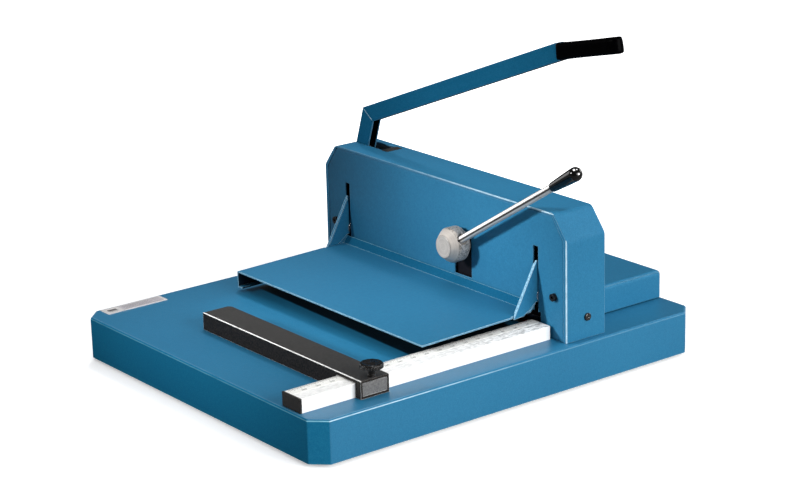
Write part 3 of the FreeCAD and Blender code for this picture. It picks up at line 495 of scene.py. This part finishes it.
def drawn_rod():
    """Bright drawn rod: long faint lines along its axis, and bands of reflection round it."""
    m = Shader("drawn_rod")
    cosine, sine = math.cos(ROD_ANGLE), math.sin(ROD_ANGLE)
    stretch = 0.02
    x, y, z = m.xyz()
    across = x * -sine + z * cosine
    along = x * (cosine * stretch) + z * (sine * stretch)
    lines = m.noise(scale=900.0, detail=3.0, rough=0.7, at=m.combine(across, y, along))
    color = m.mix(lines.rise(0.3, 0.7), srgb(186, 180, 174), srgb(226, 221, 215))
    nx, _, nz = m.facing()
    up = nx * -sine + nz * cosine
    color = m.mix(up.rise(-0.55, -0.30) * up.fade(-0.05, 0.12), color, srgb(58, 54, 52))
    color = m.mix(up.rise(0.10, 0.25) * up.fade(0.55, 0.75), color, srgb(255, 255, 255))
    color = m.mix(up.ramp((0.80, 0.95), to=(0.0, 0.7)), color, srgb(92, 88, 84))
    normal = m.bump(lines, strength=0.03, distance=0.0002, normal=m.rounded(radius=0.0005))
    return m.finish(color, rough=0.24, normal=normal, metal=0.30)


def dark_screw():
    m = Shader("dark_screw")
    grain = m.noise(scale=500.0, detail=3.0)
    color = m.mix(grain, srgb(40, 40, 41), srgb(78, 77, 76))
    color, normal = m.edged(color, srgb(236, 236, 236), amount=0.85, radius=0.0006,
                            span=(0.02, 0.2), wear=0.3)
    normal = m.bump(grain, strength=0.05, distance=0.0002, normal=normal)
    return m.finish(color, rough=0.2, normal=normal, metal=0.75)


def anodised_rail():
    """Near-white aluminium, dirty on top towards the back."""
    m = Shader("anodised_rail")
    lines = m.noise(scale=1100.0, detail=3.0, rough=0.7, stretch=(1.0, 0.03, 1.0))
    clouds = m.noise(scale=22.0, detail=3.0)
    color = m.mix(lines.rise(0.3, 0.7), srgb(246, 247, 246), srgb(254, 254, 253))
    color = m.mix(clouds.ramp((0.4, 0.75), to=(0.0, 0.25)), color, srgb(236, 236, 233))
    dirt = m.noise(scale=260.0, detail=3.0, rough=0.65, stretch=(1.0, 0.45, 1.0))
    back = m.xyz()[1].ramp((-0.10, 0.06), to=(0.30, 0.85))
    top = m.facing()[2].rise(0.6, 0.9)
    color = m.mix(dirt.rise(0.42, 0.62) * back * top, color, srgb(150, 150, 149))
    color, normal = m.edged(color, srgb(255, 255, 255), amount=0.5, span=(0.03, 0.3), wear=0.4)
    return m.finish(color, lines.ramp((0.3, 0.7), to=(0.30, 0.42)),
                    m.bump(lines, strength=0.07, normal=normal))


def scale_film():
    m = Shader("scale_film")
    clouds = m.noise(scale=30.0, detail=4.0, rough=0.6)
    grain = m.noise(scale=900.0)
    color = m.mix(clouds.rise(0.35, 0.7), srgb(246, 246, 243), srgb(230, 230, 225))
    color = m.mix(grain.ramp((0.55, 0.75), to=(0.0, 0.12)), color, srgb(190, 190, 186))
    color, normal = m.edged(color, srgb(205, 205, 202), amount=0.5, radius=0.0003)
    normal = m.bump(grain, strength=0.04, distance=0.0002, normal=normal)
    return m.finish(color, rough=0.36, normal=normal)


def label_foil():
    m = Shader("label_foil")
    lines = m.noise(scale=900.0, detail=3.0, rough=0.7, stretch=(1.0, 0.04, 1.0))
    color = m.mix(lines.rise(0.3, 0.7), srgb(206, 204, 204), srgb(236, 233, 232))
    color, normal = m.edged(color, srgb(250, 248, 246), amount=0.6, radius=0.0004, wear=0.3)
    normal = m.bump(lines, strength=0.05, distance=0.0002, normal=normal)
    return m.finish(color, lines.ramp((0.3, 0.7), to=(0.28, 0.4)), normal, metal=0.35)


def soft_black(name, dark, light, rough, scale, bump, edge_color, edge_amount, radius=0.0008,
               specular=0.45, coat=0.0, wear=0.4):
    """Rubber, plastic, enamel or ink, mottled between two sRGB colours."""
    m = Shader(name)
    grain = m.noise(scale=scale, detail=3.0, rough=0.6)
    color = m.mix(grain.rise(0.3, 0.7), srgb(*dark), srgb(*light))
    clouds = m.noise(scale=18.0).ramp((0.4, 0.7), to=(0.0, 0.3))
    color = m.mix(clouds, color, srgb(*light))
    color, normal = m.edged(color, srgb(*edge_color), amount=edge_amount, radius=radius,
                            span=(0.01, 0.14), wear=wear)
    more = {"Specular_IOR_Level": specular}
    if coat:
        more.update(Coat_Weight=coat, Coat_Roughness=0.04, Coat_IOR=1.36)
    return m.finish(color, grain.ramp((0.3, 0.7), to=(rough * 0.85, rough * 1.15)),
                    m.bump(grain, strength=bump, normal=normal), **more)


def gauge_bar_enamel():
    """Rough black enamel: upright faces darker than the top as painted shade, and painted
    highlights on its edges and top front edge.
    """
    m = Shader("gauge_enamel_bar")
    nz = m.facing()[2]
    grain = m.noise(scale=420.0, detail=3.0, rough=0.6)
    top = m.mix(grain.rise(0.3, 0.7), srgb(38, 38, 38), srgb(66, 65, 64))
    clouds = m.noise(scale=18.0).ramp((0.4, 0.7), to=(0.0, 0.3))
    top = m.mix(clouds, top, srgb(56, 55, 54))
    # upright faces take a darker colour than the top: painted shade
    side = m.mix(grain.rise(0.4, 0.72), srgb(14, 10, 8), srgb(56, 50, 46))
    color = m.mix(nz.rise(0.4, 0.8), side, top)
    color, normal = m.edged(color, srgb(225, 225, 224), amount=0.85, radius=0.0012,
                            span=(0.01, 0.14), wear=0.15)
    color = m.mix(gauge_line(m), color, srgb(246, 246, 245))
    return m.finish(color, grain.ramp((0.3, 0.7), to=(0.42, 0.56)),
                    m.bump(grain, strength=0.22, normal=normal), Specular_IOR_Level=0.12)


def stick_plastic():
    """Red plastic with thin dark lines across Y."""
    m = Shader("stick_plastic_red")
    clouds = m.noise(scale=40.0, detail=3.0, stretch=(1.0, 1.0, 1.0))
    color = m.mix(clouds, srgb(150, 34, 30), srgb(176, 48, 40))
    cuts = m.noise(scale=900.0, detail=1.0, stretch=(0.01, 1.0, 0.01))
    color = m.mix(cuts.ramp((0.62, 0.66), to=(0.0, 0.6)), color, srgb(96, 18, 16))
    normal = m.bump(m.noise(scale=700.0), strength=0.1, distance=0.0002,
                    normal=m.rounded(radius=0.0005))
    return m.finish(color, rough=0.45, normal=normal)


HANDLE_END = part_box("clamp_handle")[1].x

# glints on the knob's round end: x and y of the normal as the camera sees it, and size
GLINTS = ((-0.22, 0.55, 0.17), (0.42, 0.02, 0.15), (0.15, 0.62, 0.09))


def knob_gloss():
    """Glossy black with small sharp glints on the round end of the clamp handle."""
    m = Shader("gloss_phenolic_knob")
    clouds = m.noise(scale=60.0, detail=3.0)
    color = m.mix(clouds, srgb(3, 3, 3), srgb(8, 8, 8))
    seen = m.add("ShaderNodeVectorTransform", {0: m.normal()}, vector_type="NORMAL",
                 convert_from="WORLD", convert_to="CAMERA")
    nx, ny, _ = m.split(seen)
    glint = None
    for glint_x, glint_y, size in GLINTS:
        dx = nx - glint_x
        dy = ny - glint_y
        spot_mask = (dx * dx + dy * dy).sqrt().fade(size * 0.7, size)
        glint = glint.maximum(spot_mask) if glint else spot_mask
    ball = m.xyz()[0].rise(HANDLE_END - 0.0165, HANDLE_END - 0.0155)
    color = m.mix(glint * ball * 0.95, color, srgb(250, 250, 250))
    normal = m.bump(clouds, strength=0.01, normal=m.rounded(radius=0.0004))
    return m.finish(color, rough=0.3, normal=normal, Specular_IOR_Level=0.05, Coat_Weight=1.0,
                    Coat_Roughness=0.05, Coat_IOR=1.33)


# materials by the slot name that each part carries
SLOTS = {
    "blue_paint": blue_paint(),
    "dark_steel": black_primer(),
    "frame_steel": zinc_plate(),
    "blade_steel": brushed(
        "ground_blade_steel", srgb(188, 191, 194), srgb(216, 218, 220), rough=0.24, metal=0.95,
        stretch=(1.0, 1.0, 0.05), edge_color=srgb(245, 246, 247)),
    "bright_steel": brushed(
        "polished_steel", srgb(196, 196, 197), srgb(222, 222, 222), rough=0.16, metal=0.92,
        stretch=(0.06, 0.06, 0.06), edge_color=srgb(245, 245, 245), bump=0.02),
    "black_screws": black_oxide(),
    "bronze": sintered_bronze(),
    "turned_aluminium": turned_aluminium(),
    "rail_aluminium": anodised_rail(),
    "scale_white": scale_film(),
    "label_silver": label_foil(),
    "rubber_black": soft_black(
        "rubber", (16, 17, 18), (28, 29, 30), rough=0.62, scale=380.0, bump=0.25,
        edge_color=(60, 62, 64), edge_amount=0.3),
    "gloss_black": soft_black(
        "gloss_phenolic", (3, 3, 3), (7, 7, 7), rough=0.3, scale=60.0, bump=0.01,
        edge_color=(30, 30, 31), edge_amount=0.1, specular=0.05, coat=1.0),
    "gauge_black": soft_black(
        "gauge_enamel", (24, 23, 22), (50, 48, 46), rough=0.40, scale=420.0, bump=0.22,
        edge_color=(235, 235, 235), edge_amount=0.95, radius=0.0016, wear=0.15),
    "grey_plastic": soft_black(
        "grey_plastic", (58, 58, 60), (82, 82, 84), rough=0.45, scale=300.0, bump=0.12,
        edge_color=(160, 160, 160), edge_amount=0.5),
    "black_plastic": soft_black(
        "black_plastic", (18, 17, 17), (32, 30, 29), rough=0.42, scale=260.0, bump=0.12,
        edge_color=(70, 66, 62), edge_amount=0.4),
    "stick_plastic": stick_plastic(),
}

# parts that have a material of their own
VARIANTS = {
    "base_tray": blue_paint(
        "paint_blue_base", shade=under_guard, lines=fold_lines, painted_light=before_guard,
        specular=0.28, rough=(0.30, 0.42), front_shade=0.55),
    "hood": blue_paint("paint_blue_hood", lines=hood_lines, edge_amount=0.22),
    "front_panel": blue_paint("paint_blue_panel", shade=panel_shade, edge_amount=0.15),
    "rear_cover": blue_paint("paint_blue_cover", edge_amount=0.12),
    "guard_plate": blue_paint(
        "paint_blue_guard", shade=plate_under, painted_highlight=plate_edge, specular=0.2, front_shade=1.0,
        front_shade_tint=(0.45, 0.66, 0.70)),
    "gauge_bar": gauge_bar_enamel(),
    "rear_panel": rear_panel_paint(),
    "clamp_rod": drawn_rod(),
    "hood_side_screws": dark_screw(),
    # the lever carries painted shade in its channel and on its front faces, and a darker tint
    # all over as painted shade
    "cutting_lever": blue_paint(
        "paint_blue_lever", shade=lever_inside, dim=(0.72, 0.72, 0.74), edge_amount=0.3,
        specular=0.10, front_shade=0.4),
    "guard_arm_right": blue_paint("paint_blue_arm", shade=arm_inside, painted_highlight=arm_lip),
    "guard_arm_left": blue_paint("paint_blue_arm_left", shade=arm_inside),
    "rail_end_cap": soft_black(
        "cap_plastic", (24, 23, 23), (46, 44, 43), rough=0.42, scale=300.0, bump=0.14,
        edge_color=(170, 168, 166), edge_amount=0.6, specular=0.2),
    "gauge_end_plate": soft_black(
        "end_plate_enamel", (70, 70, 71), (120, 119, 118), rough=0.42, scale=420.0, bump=0.22,
        edge_color=(225, 225, 225), edge_amount=0.7),
}


def slot_of(part):
    for material in part.data.materials:
        if material:
            base = material.name.split(".")[0]
            if base in SLOTS:
                return base
    return "frame_steel"


def dress(name, part):
    """Puts the part's material into all its slots."""
    material = VARIANTS.get(name, SLOTS[slot_of(part)])
    for i in range(max(1, len(part.material_slots))):
        if len(part.data.materials) <= i:
            part.data.materials.append(material)
        else:
            part.material_slots[i].material = material


for part_name, part_object in NODES.items():
    dress(part_name, part_object)


# ------------------------------------------------------------------ mesh helpers
def add_object(name, data):
    ob = bpy.data.objects.new(name, data)
    scene.collection.objects.link(ob)
    return ob


def piece(name, bm, material, body, smooth=None, replaces=()):
    """Makes a piece; smooth is the angle in degrees above which an edge stays sharp."""
    mesh = bpy.data.meshes.new(name)
    bmesh.ops.recalc_face_normals(bm, faces=bm.faces)
    bm.to_mesh(mesh)
    bm.free()
    mesh.materials.append(material)
    ob = add_object(name, mesh)
    if smooth is not None:
        for polygon in mesh.polygons:
            polygon.use_smooth = True
        sharp = bmesh.new()
        sharp.from_mesh(mesh)
        for edge in sharp.edges:
            if len(edge.link_faces) == 2 and edge.calc_face_angle(0.0) > math.radians(smooth):
                edge.smooth = False
        sharp.to_mesh(mesh)
        sharp.free()
    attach(ob, body)
    if replaces:
        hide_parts(*replaces)


def add_box(bm, x, y, z):
    """A box from its (low, high) spans in mm."""
    corners = ((0, 0), (1, 0), (1, 1), (0, 1))
    v = [bm.verts.new((x[i] * MM, y[j] * MM, z[k] * MM)) for k in (0, 1) for i, j in corners]
    for face in ((3, 2, 1, 0), (4, 5, 6, 7), (0, 1, 5, 4), (1, 2, 6, 5), (2, 3, 7, 6),
                 (3, 0, 4, 7)):
        bm.faces.new([v[i] for i in face])


def join_rings(bm, rings):
    for near, far in zip(rings, rings[1:]):
        for i in range(len(near)):
            k = (i + 1) % len(near)
            bm.faces.new((near[i], near[k], far[k], far[i]))


def lathe(bm, profile, origin, axis, segments, flute=None):
    """Turns (distance along the axis, radius) points in mm; the last one is on the axis.

    flute(i, radius) may change the radius at segment i."""
    axis = Vector(axis).normalized()
    side = axis.orthogonal().normalized()
    other = axis.cross(side)
    origin = Vector(origin) * MM
    rings = []
    for along, radius in profile[:-1]:
        ring = []
        for i in range(segments):
            r = flute(i, radius) if flute else radius
            a = 2 * math.pi * i / segments
            spoke = side * math.cos(a) + other * math.sin(a)
            ring.append(bm.verts.new(origin + axis * along * MM + spoke * r * MM))
        rings.append(ring)
    tip = bm.verts.new(origin + axis * profile[-1][0] * MM)
    join_rings(bm, rings)
    last = rings[-1]
    for i in range(segments):
        bm.faces.new((last[i], last[(i + 1) % segments], tip))


def round_corners(points, radius, steps=3):
    """Rounds each inner corner of a profile with a small curve."""
    out = [points[0]]
    for before, corner, after in zip(points, points[1:], points[2:]):
        corner = Vector(corner)
        back, ahead = Vector(before) - corner, Vector(after) - corner
        reach = min(radius, back.length * 0.45, ahead.length * 0.45)
        start = corner + back.normalized() * reach
        end = corner + ahead.normalized() * reach
        for i in range(steps + 1):
            t = i / steps
            p = start * (1 - t) ** 2 + corner * 2 * t * (1 - t) + end * t * t
            out.append((p.x, p.y))
    out.append(points[-1])
    return out


def box_mm(node):
    lo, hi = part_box(node)
    return lo / MM, hi / MM


def slanted(angle):
    """Unit vector in the XZ plane, tilted up from +X."""
    return Vector((math.cos(angle), 0, math.sin(angle)))


def below(direction):
    """The direction turned a quarter clockwise, as seen from the front."""
    return Vector((direction.z, 0, -direction.x))


# ------------------------------------------------------------------ clamp handle
# (distance along the rod, radius), mm, up to the round end
HANDLE_PROFILE = [
    (224.0, 5.02), (224.0, 5.3), (224.6, 6.0), (226.2, 6.35), (236, 6.95), (252, 7.95),
    (262, 8.5), (268, 8.8), (271.7, 8.95)]
HANDLE_END_LENGTH = 9.0
HANDLE_END_STEPS = 18


def clamp_handle():
    bm = bmesh.new()
    profile = round_corners(HANDLE_PROFILE, radius=1.2)
    end_start, end_radius = HANDLE_PROFILE[-1]
    for i in range(1, HANDLE_END_STEPS + 1):
        a = math.pi / 2 * i / HANDLE_END_STEPS
        profile.append((end_start + HANDLE_END_LENGTH * math.sin(a), end_radius * math.cos(a)))
    lathe(bm, profile, (HUB_X, ROD_Y, HUB_Z), slanted(ROD_ANGLE), segments=96)
    piece("clamp_handle_knob", bm, knob_gloss(), "clamp_lever", 50,
          ("clamp_handle",))


# -------------------------------------------------------------------- gauge knob
# (height, radius), mm
KNOB_PROFILE = [
    (78.4, 2.55), (78.4, 5.2), (79.6, 5.2), (80.6, 4.0), (86.9, 4.0), (88.2, 5.6),
    (88.5, 12.6), (89.4, 14.3), (93.4, 14.3), (94.7, 13.4), (95.3, 11.2), (94.9, 9.6),
    (95.2, 3.0), (95.4, 0.0)]
KNURL_FROM_RADIUS = 13.9
KNURL_DEPTH = 0.28
KNURL_EVERY = 3          # segments


def knurl(i, radius):
    if radius > KNURL_FROM_RADIUS and i % KNURL_EVERY == 0:
        return radius - KNURL_DEPTH
    return radius


def gauge_knob():
    lo, hi = box_mm("gauge_knob")
    bm = bmesh.new()
    lathe(bm, round_corners(KNOB_PROFILE, radius=0.5),
          ((lo.x + hi.x) / 2, (lo.y + hi.y) / 2, 0.0), (0, 0, 1), segments=144, flute=knurl)
    material = soft_black(
        "knob_phenolic", (7, 6, 5), (17, 15, 14), rough=0.26, scale=240.0, bump=0.06,
        edge_color=(205, 203, 200), edge_amount=0.7, radius=0.0007, specular=0.12, coat=0.5)
    piece("gauge_knob_turned", bm, material, "knob", 35, ("gauge_knob",))


# --------------------------------------------------------------------- lever grip
CORNER = Vector((CORNER_X, LEVER_Y, CORNER_Z))
ARM = slanted(ARM_ANGLE)
ARM_BELOW = below(ARM)

# (distance, half height, half width, corner power), mm; the corners are superelliptic
GRIP_STATIONS = [
    (-1.2, 9.9, 7.4, 5.0), (-0.6, 10.6, 8.2, 5.0), (1.0, 10.75, 8.5, 5.0),
    (6.0, 10.55, 8.4, 4.6), (20, 10.3, 8.25, 4.4), (45, 10.1, 8.1, 4.2),
    (70, 10.1, 8.15, 4.2), (90, 10.2, 8.4, 4.2), (97.0, 10.25, 8.5, 4.2),
    (98.0, 9.95, 8.2, 4.2), (98.8, 9.95, 8.2, 4.2), (99.6, 10.25, 8.45, 4.2)]
GRIP_END_STEPS = 10
GRIP_END_FILLET = 3.8    # rounds the end in side view
GRIP_TIP_HALF_WIDTH = 0.9
GRIP_END_POWER = 4.0
GRIP_STEP = 3.0          # least length of the steps between stations
GRIP_SEGMENTS = 64
GRIP_FRONT_SLOPE = 0.14  # the sleeve's near end is cut to the arm's end


def grip_stations():
    stations = list(GRIP_STATIONS)
    end_start, half_height, half_width, _ = GRIP_STATIONS[-1]
    fillet_start = GRIP_LENGTH - GRIP_END_FILLET
    # the free end is round in plan
    for i in range(1, GRIP_END_STEPS + 1):
        a = math.pi / 2 * i / GRIP_END_STEPS
        width = half_width * math.cos(a) if i < GRIP_END_STEPS else GRIP_TIP_HALF_WIDTH
        along = end_start + (GRIP_LENGTH - end_start) * math.sin(a)
        height = half_height
        if along >= fillet_start:
            drop = GRIP_END_FILLET ** 2 - (along - fillet_start) ** 2
            height = half_height - GRIP_END_FILLET + math.sqrt(max(0.0, drop))
        stations.append((along, height, width, GRIP_END_POWER))
    # finer rings between the stations
    fine = []
    for a, b in zip(stations, stations[1:]):
        steps = max(1, int((b[0] - a[0]) / GRIP_STEP))
        for step in range(steps):
            t = step / steps
            fine.append(tuple(a[i] + (b[i] - a[i]) * t for i in range(4)))
    fine.append(stations[-1])
    return fine


def lever_grip():
    bm = bmesh.new()
    start = CORNER + ARM * ARM_LENGTH + ARM_BELOW * (ARM_DEPTH / 2)
    direction = slanted(GRIP_ANGLE)
    down = below(direction)
    rings = []
    for along, half_height, half_width, power in grip_stations():
        ring = []
        for i in range(GRIP_SEGMENTS):
            a = 2 * math.pi * i / GRIP_SEGMENTS
            c, s = math.cos(a), math.sin(a)
            y = math.copysign(abs(c) ** (2.0 / power), c) * half_width
            z = math.copysign(abs(s) ** (2.0 / power), s) * half_height
            cut = along + (GRIP_FRONT_SLOPE * z if along < 3 else 0.0)
            ring.append(bm.verts.new((start + direction * cut - down * z
                                      + Vector((0, y, 0))) * MM))
        rings.append(ring)
    join_rings(bm, rings)
    bm.faces.new(list(reversed(rings[-1])))
    bm.faces.new(rings[0])
    material = soft_black(
        "grip_vinyl", (0, 0, 0), (3, 3, 4), rough=0.30, scale=300.0, bump=0.08,
        edge_color=(20, 28, 32), edge_amount=0.3, radius=0.0015, specular=0.01)
    piece("lever_grip_sleeve", bm, material, "lever", 45, ("lever_grip",))


# ------------------------------------------------------------ lever mitre seam
BEAD_WIDTH, BEAD_HEIGHT = 1.6, 0.5
BEAD_STEPS = 40
BEAD_POINTS = 7          # round the half circle of its section


def meet(p, along_p, q, along_q):
    """Where two lines cross in the XZ plane."""
    det = -along_p.x * along_q.z + along_p.z * along_q.x
    rx, rz = q.x - p.x, q.z - p.z
    reach = (-rx * along_q.z + rz * along_q.x) / det
    return Vector((p.x + reach * along_p.x, p.y, p.z + reach * along_p.z))


def bead(bm, start, end, outward, phase):
    """A weld bead, tapered at its ends and rippled; phase shifts the ripple."""
    outward = Vector(outward)
    side = (end - start).normalized().cross(outward).normalized()
    rings = []
    for i in range(BEAD_STEPS + 1):
        t = i / BEAD_STEPS
        taper = min(1.0, t * 10, (1 - t) * 10)
        ripple = 1.0 + 0.18 * math.sin(i * 1.9 + phase) + 0.1 * math.sin(i * 0.7 + phase * 2)
        half_width = BEAD_WIDTH / 2 * (0.6 + 0.4 * taper)
        height = BEAD_HEIGHT * taper * ripple
        ring = []
        for j in range(BEAD_POINTS):
            a = math.pi * j / (BEAD_POINTS - 1)
            p = (start + (end - start) * t + side * math.cos(a) * half_width
                 + outward * (math.sin(a) * height))
            ring.append(bm.verts.new(p * MM))
        rings.append(ring)
    join_rings(bm, rings)
    bm.faces.new(rings[0])
    bm.faces.new(list(reversed(rings[-1])))


def mitre_seam():
    """Beads on the front and back of the lever, from its outer to its inner corner."""
    leg = Vector((math.sin(LEG_ANGLE), 0, math.cos(LEG_ANGLE)))
    inner = meet(CORNER + below(leg) * LEG_DEPTH, leg, CORNER + ARM_BELOW * ARM_DEPTH, ARM)
    start = CORNER + (inner - CORNER) * 0.06
    end = CORNER + (inner - CORNER) * 0.96
    bm = bmesh.new()
    for side, phase in ((-1, 0.3), (1, 1.1)):
        y = LEVER_Y + side * LEVER_HALF_WIDTH
        bead(bm, Vector((start.x, y, start.z)), Vector((end.x, y, end.z)), (0, side, 0), phase)
    piece("lever_mitre_seam", bm, SLOTS["blue_paint"], "lever", 60)


# ------------------------------------------------------------------ scale marks
INK = soft_black(
    "scale_ink", (70, 70, 72), (96, 96, 98), rough=0.5, scale=500.0, bump=0.05,
    edge_color=(110, 110, 112), edge_amount=0.3)
SUNK = 0.02              # how far printed marks reach into the face below, mm
INK_TOP = 0.05
TICK_MARGIN = 1.0        # from the strip's left edge
NUMBER_MARGIN = 10.8
NUMBER_SIZE, NUMBER_EXTRUDE = 4.8, 0.03


def scale_ticks():
    """A tick for each mm from the cut, longer at 5 and 10, and a line along their ends."""
    lo, hi = box_mm("scale_strip")
    z = (hi.z - SUNK, hi.z + INK_TOP)
    x = lo.x + TICK_MARGIN
    bm = bmesh.new()
    distance = 30
    while CUT_Y - distance > lo.y + 1.0:
        y = CUT_Y - distance
        if y < hi.y - 0.6:
            length = 6.2 if distance % 10 == 0 else (4.6 if distance % 5 == 0 else 3.0)
            width = 0.34 if distance % 10 == 0 else 0.22
            add_box(bm, (x, x + length), (y - width / 2, y + width / 2), z)
        distance += 1
    add_box(bm, (x - 0.15, x + 0.15), (lo.y + 0.8, hi.y - 0.8), z)
    piece("scale_ticks", bm, INK, "root")


def add_text(bm, body, at):
    """Adds flat text, centred at a place in mm and turned to read along Y."""
    curve = bpy.data.curves.new("number", "FONT")
    curve.body = body
    curve.size = NUMBER_SIZE * MM
    curve.align_x = "CENTER"
    curve.align_y = "CENTER"
    curve.extrude = NUMBER_EXTRUDE * MM
    ob = add_object("number", curve)
    bpy.context.view_layer.update()
    depsgraph = bpy.context.evaluated_depsgraph_get()
    mesh = bpy.data.meshes.new_from_object(ob.evaluated_get(depsgraph))
    mesh.transform(Matrix.Translation(Vector(at) * MM) @ Matrix.Rotation(math.pi / 2, 4, "Z"))
    bm.from_mesh(mesh)
    bpy.data.objects.remove(ob)
    bpy.data.curves.remove(curve)
    bpy.data.meshes.remove(mesh)


def scale_numbers():
    lo, hi = box_mm("scale_strip")
    bm = bmesh.new()
    for distance in range(40, 400, 20):
        y = CUT_Y - distance
        if lo.y + 4 < y < hi.y - 4:
            add_text(bm, str(distance), (lo.x + NUMBER_MARGIN, y, hi.z + 0.025))
    piece("scale_numbers", bm, INK, "root")


# ------------------------------------------------------------------- label face
BAND_TOP = 0.04
RULE_PITCH, RULE_WIDTH = 2.7, 0.5


def label_band():
    lo, hi = box_mm("label_plate")
    bm = bmesh.new()
    add_box(bm, (lo.x + 2.6, hi.x - 2.6), (lo.y + 25, hi.y - 4),
            (hi.z - SUNK, hi.z + BAND_TOP))
    foil = brushed("label_band", srgb(176, 172, 178), srgb(196, 192, 197), rough=0.4,
                   metal=0.25, stretch=(1.0, 0.05, 1.0), bump=0.03)
    piece("label_band", bm, foil, "root")


def label_rules():
    """Five rules on the band, every other one shorter, and two blocks in front of it."""
    lo, hi = box_mm("label_plate")
    bm = bmesh.new()
    for k in range(5):
        x = lo.x + 5.0 + k * RULE_PITCH
        add_box(bm, (x, x + RULE_WIDTH), (lo.y + 29, hi.y - 8 - (k % 2) * 14),
                (hi.z + 0.03, hi.z + 0.08))
    for left, right in ((7.0, 12.5), (14.0, 15.0)):
        add_box(bm, (lo.x + left, lo.x + right), (lo.y + 6.0, lo.y + 19.0),
                (hi.z - SUNK, hi.z + INK_TOP))
    piece("label_rules", bm, INK, "root")


clamp_handle()
gauge_knob()
lever_grip()
mitre_seam()
scale_ticks()
scale_numbers()
label_band()
label_rules()


# --------------------------------------------------------------- floor and light
FLOOR_RADIUS, FLOOR_Z = 9.0, -0.0041


def floor_paint():
    m = Shader("floor_paint")
    color = m.mix(m.noise(scale=3.0, detail=3.0), (0.86, 0.865, 0.87, 1),
                  (0.885, 0.888, 0.89, 1))
    # bright to the eye, but it throws less light back up at the object
    camera_ray = m.add("ShaderNodeLightPath", output="Is Camera Ray")
    color = m.mix(camera_ray, (0.34, 0.345, 0.35, 1), color)
    x, y, _ = m.xyz()
    glow = (x * x + y * y).sqrt().ramp((0.42, 0.85), to=(0.42, 1.3),
                                       interpolation="SMOOTHSTEP")
    normal = m.bump(m.noise(scale=160.0), strength=0.02, distance=0.0005)
    return m.finish(color, rough=0.7, normal=normal, Specular_IOR_Level=0.05,
                    Emission_Color=(1, 1, 1, 1), Emission_Strength=camera_ray * glow)


def floor():
    bm = bmesh.new()
    bmesh.ops.create_circle(bm, cap_ends=True, segments=128, radius=FLOOR_RADIUS)
    for v in bm.verts:
        v.co.z = FLOOR_Z
    mesh = bpy.data.meshes.new("floor")
    bm.to_mesh(mesh)
    bm.free()
    mesh.materials.append(floor_paint())
    add_object("studio_floor", mesh)


def studio_world(light_strength, seen_strength):
    """White all round, dim as a light and bright as the camera sees it."""
    world = bpy.data.worlds.new("studio")
    scene.world = world
    world.use_nodes = True
    nodes, links = world.node_tree.nodes, world.node_tree.links
    nodes.clear()
    output = nodes.new("ShaderNodeOutputWorld")
    light_path = nodes.new("ShaderNodeLightPath")
    mix = nodes.new("ShaderNodeMixShader")
    links.new(light_path.outputs["Is Camera Ray"], mix.inputs[0])
    for i, strength in enumerate((light_strength, seen_strength)):
        background = nodes.new("ShaderNodeBackground")
        background.inputs[0].default_value = (1.0, 1.0, 1.0, 1)
        background.inputs[1].default_value = strength
        links.new(background.outputs[0], mix.inputs[i + 1])
    links.new(mix.outputs[0], output.inputs[0])


def light(name, kind, at, to, power):
    ob = add_object(name, bpy.data.lights.new(name, kind))
    ob.data.energy = power
    ob.location = at
    ob.rotation_euler = (Vector(to) - Vector(at)).to_track_quat("-Z", "Y").to_euler()
    return ob


def area(name, at, to, size, power):
    ob = light(name, "AREA", at, to, power)
    ob.data.shape = "RECTANGLE"
    ob.data.size, ob.data.size_y = size
    ob.visible_camera = False


def spot(name, at, to, power, cone, blend, radius):
    """A spot lamp; cone is its full angle in degrees."""
    lamp = light(name, "SPOT", at, to, power).data
    lamp.shadow_soft_size = radius
    lamp.spot_size = math.radians(cone)
    lamp.spot_blend = blend


floor()
studio_world(light_strength=0.10, seen_strength=1.05)
area("top_softbox", at=(0.0, 0.0, 2.6), to=(0.0, 0.0, 0.0), size=(2.4, 2.4), power=31.0)
area("right_softbox", at=(2.7, 0.3, 1.0), to=(0.1, 0.0, 0.1), size=(2.0, 1.4), power=92.0)
spot("panel_key", at=(-1.13, -2.4, 1.25), to=(0.12, 0.08, 0.15), power=530.0, cone=11.0,
     blend=0.5, radius=0.24)
spot("table_left", at=(-0.9, 0.6, 2.1), to=(-0.15, -0.16, 0.06), power=135.0, cone=15.0,
     blend=1.0, radius=0.25)
area("rear_fill", at=(0.4, 2.6, 1.1), to=(0.0, 0.0, 0.1), size=(1.6, 1.2), power=30.0)
area("left_fill", at=(-2.4, -0.6, 0.5), to=(-0.1, 0.0, 0.1), size=(1.2, 0.8), power=7.0)


# ---------------------------------------------------------------------- camera
def camera(azimuth, elevation, roll, distance, shift_right, shift_up, lens):
    """Looks in from the front right; angles in degrees, lens in mm, the rest in metres."""
    az, el, roll = math.radians(azimuth), math.radians(elevation), math.radians(roll)
    back = Vector((math.sin(az) * math.cos(el), -math.cos(az) * math.cos(el), math.sin(el)))
    right = Vector((0, 0, 1)).cross(back).normalized()
    up = back.cross(right)
    place = back * distance + right * shift_right + up * shift_up
    rolled_right = right * math.cos(roll) + up * math.sin(roll)
    rolled_up = up * math.cos(roll) - right * math.sin(roll)
    data = bpy.data.cameras.new("camera")
    data.sensor_fit = "HORIZONTAL"
    data.sensor_width = 36.0
    data.lens = lens
    data.clip_start = 0.05
    data.clip_end = 60.0
    ob = add_object("camera", data)
    columns = (rolled_right, rolled_up, back, place)
    ob.matrix_world = Matrix([[c[i] for c in columns] for i in range(3)] + [[0, 0, 0, 1]])
    scene.camera = ob


camera(azimuth=52.46, elevation=17.29, roll=-1.46, distance=3.02028, shift_right=0.01826,
       shift_up=0.13656, lens=105.1659)
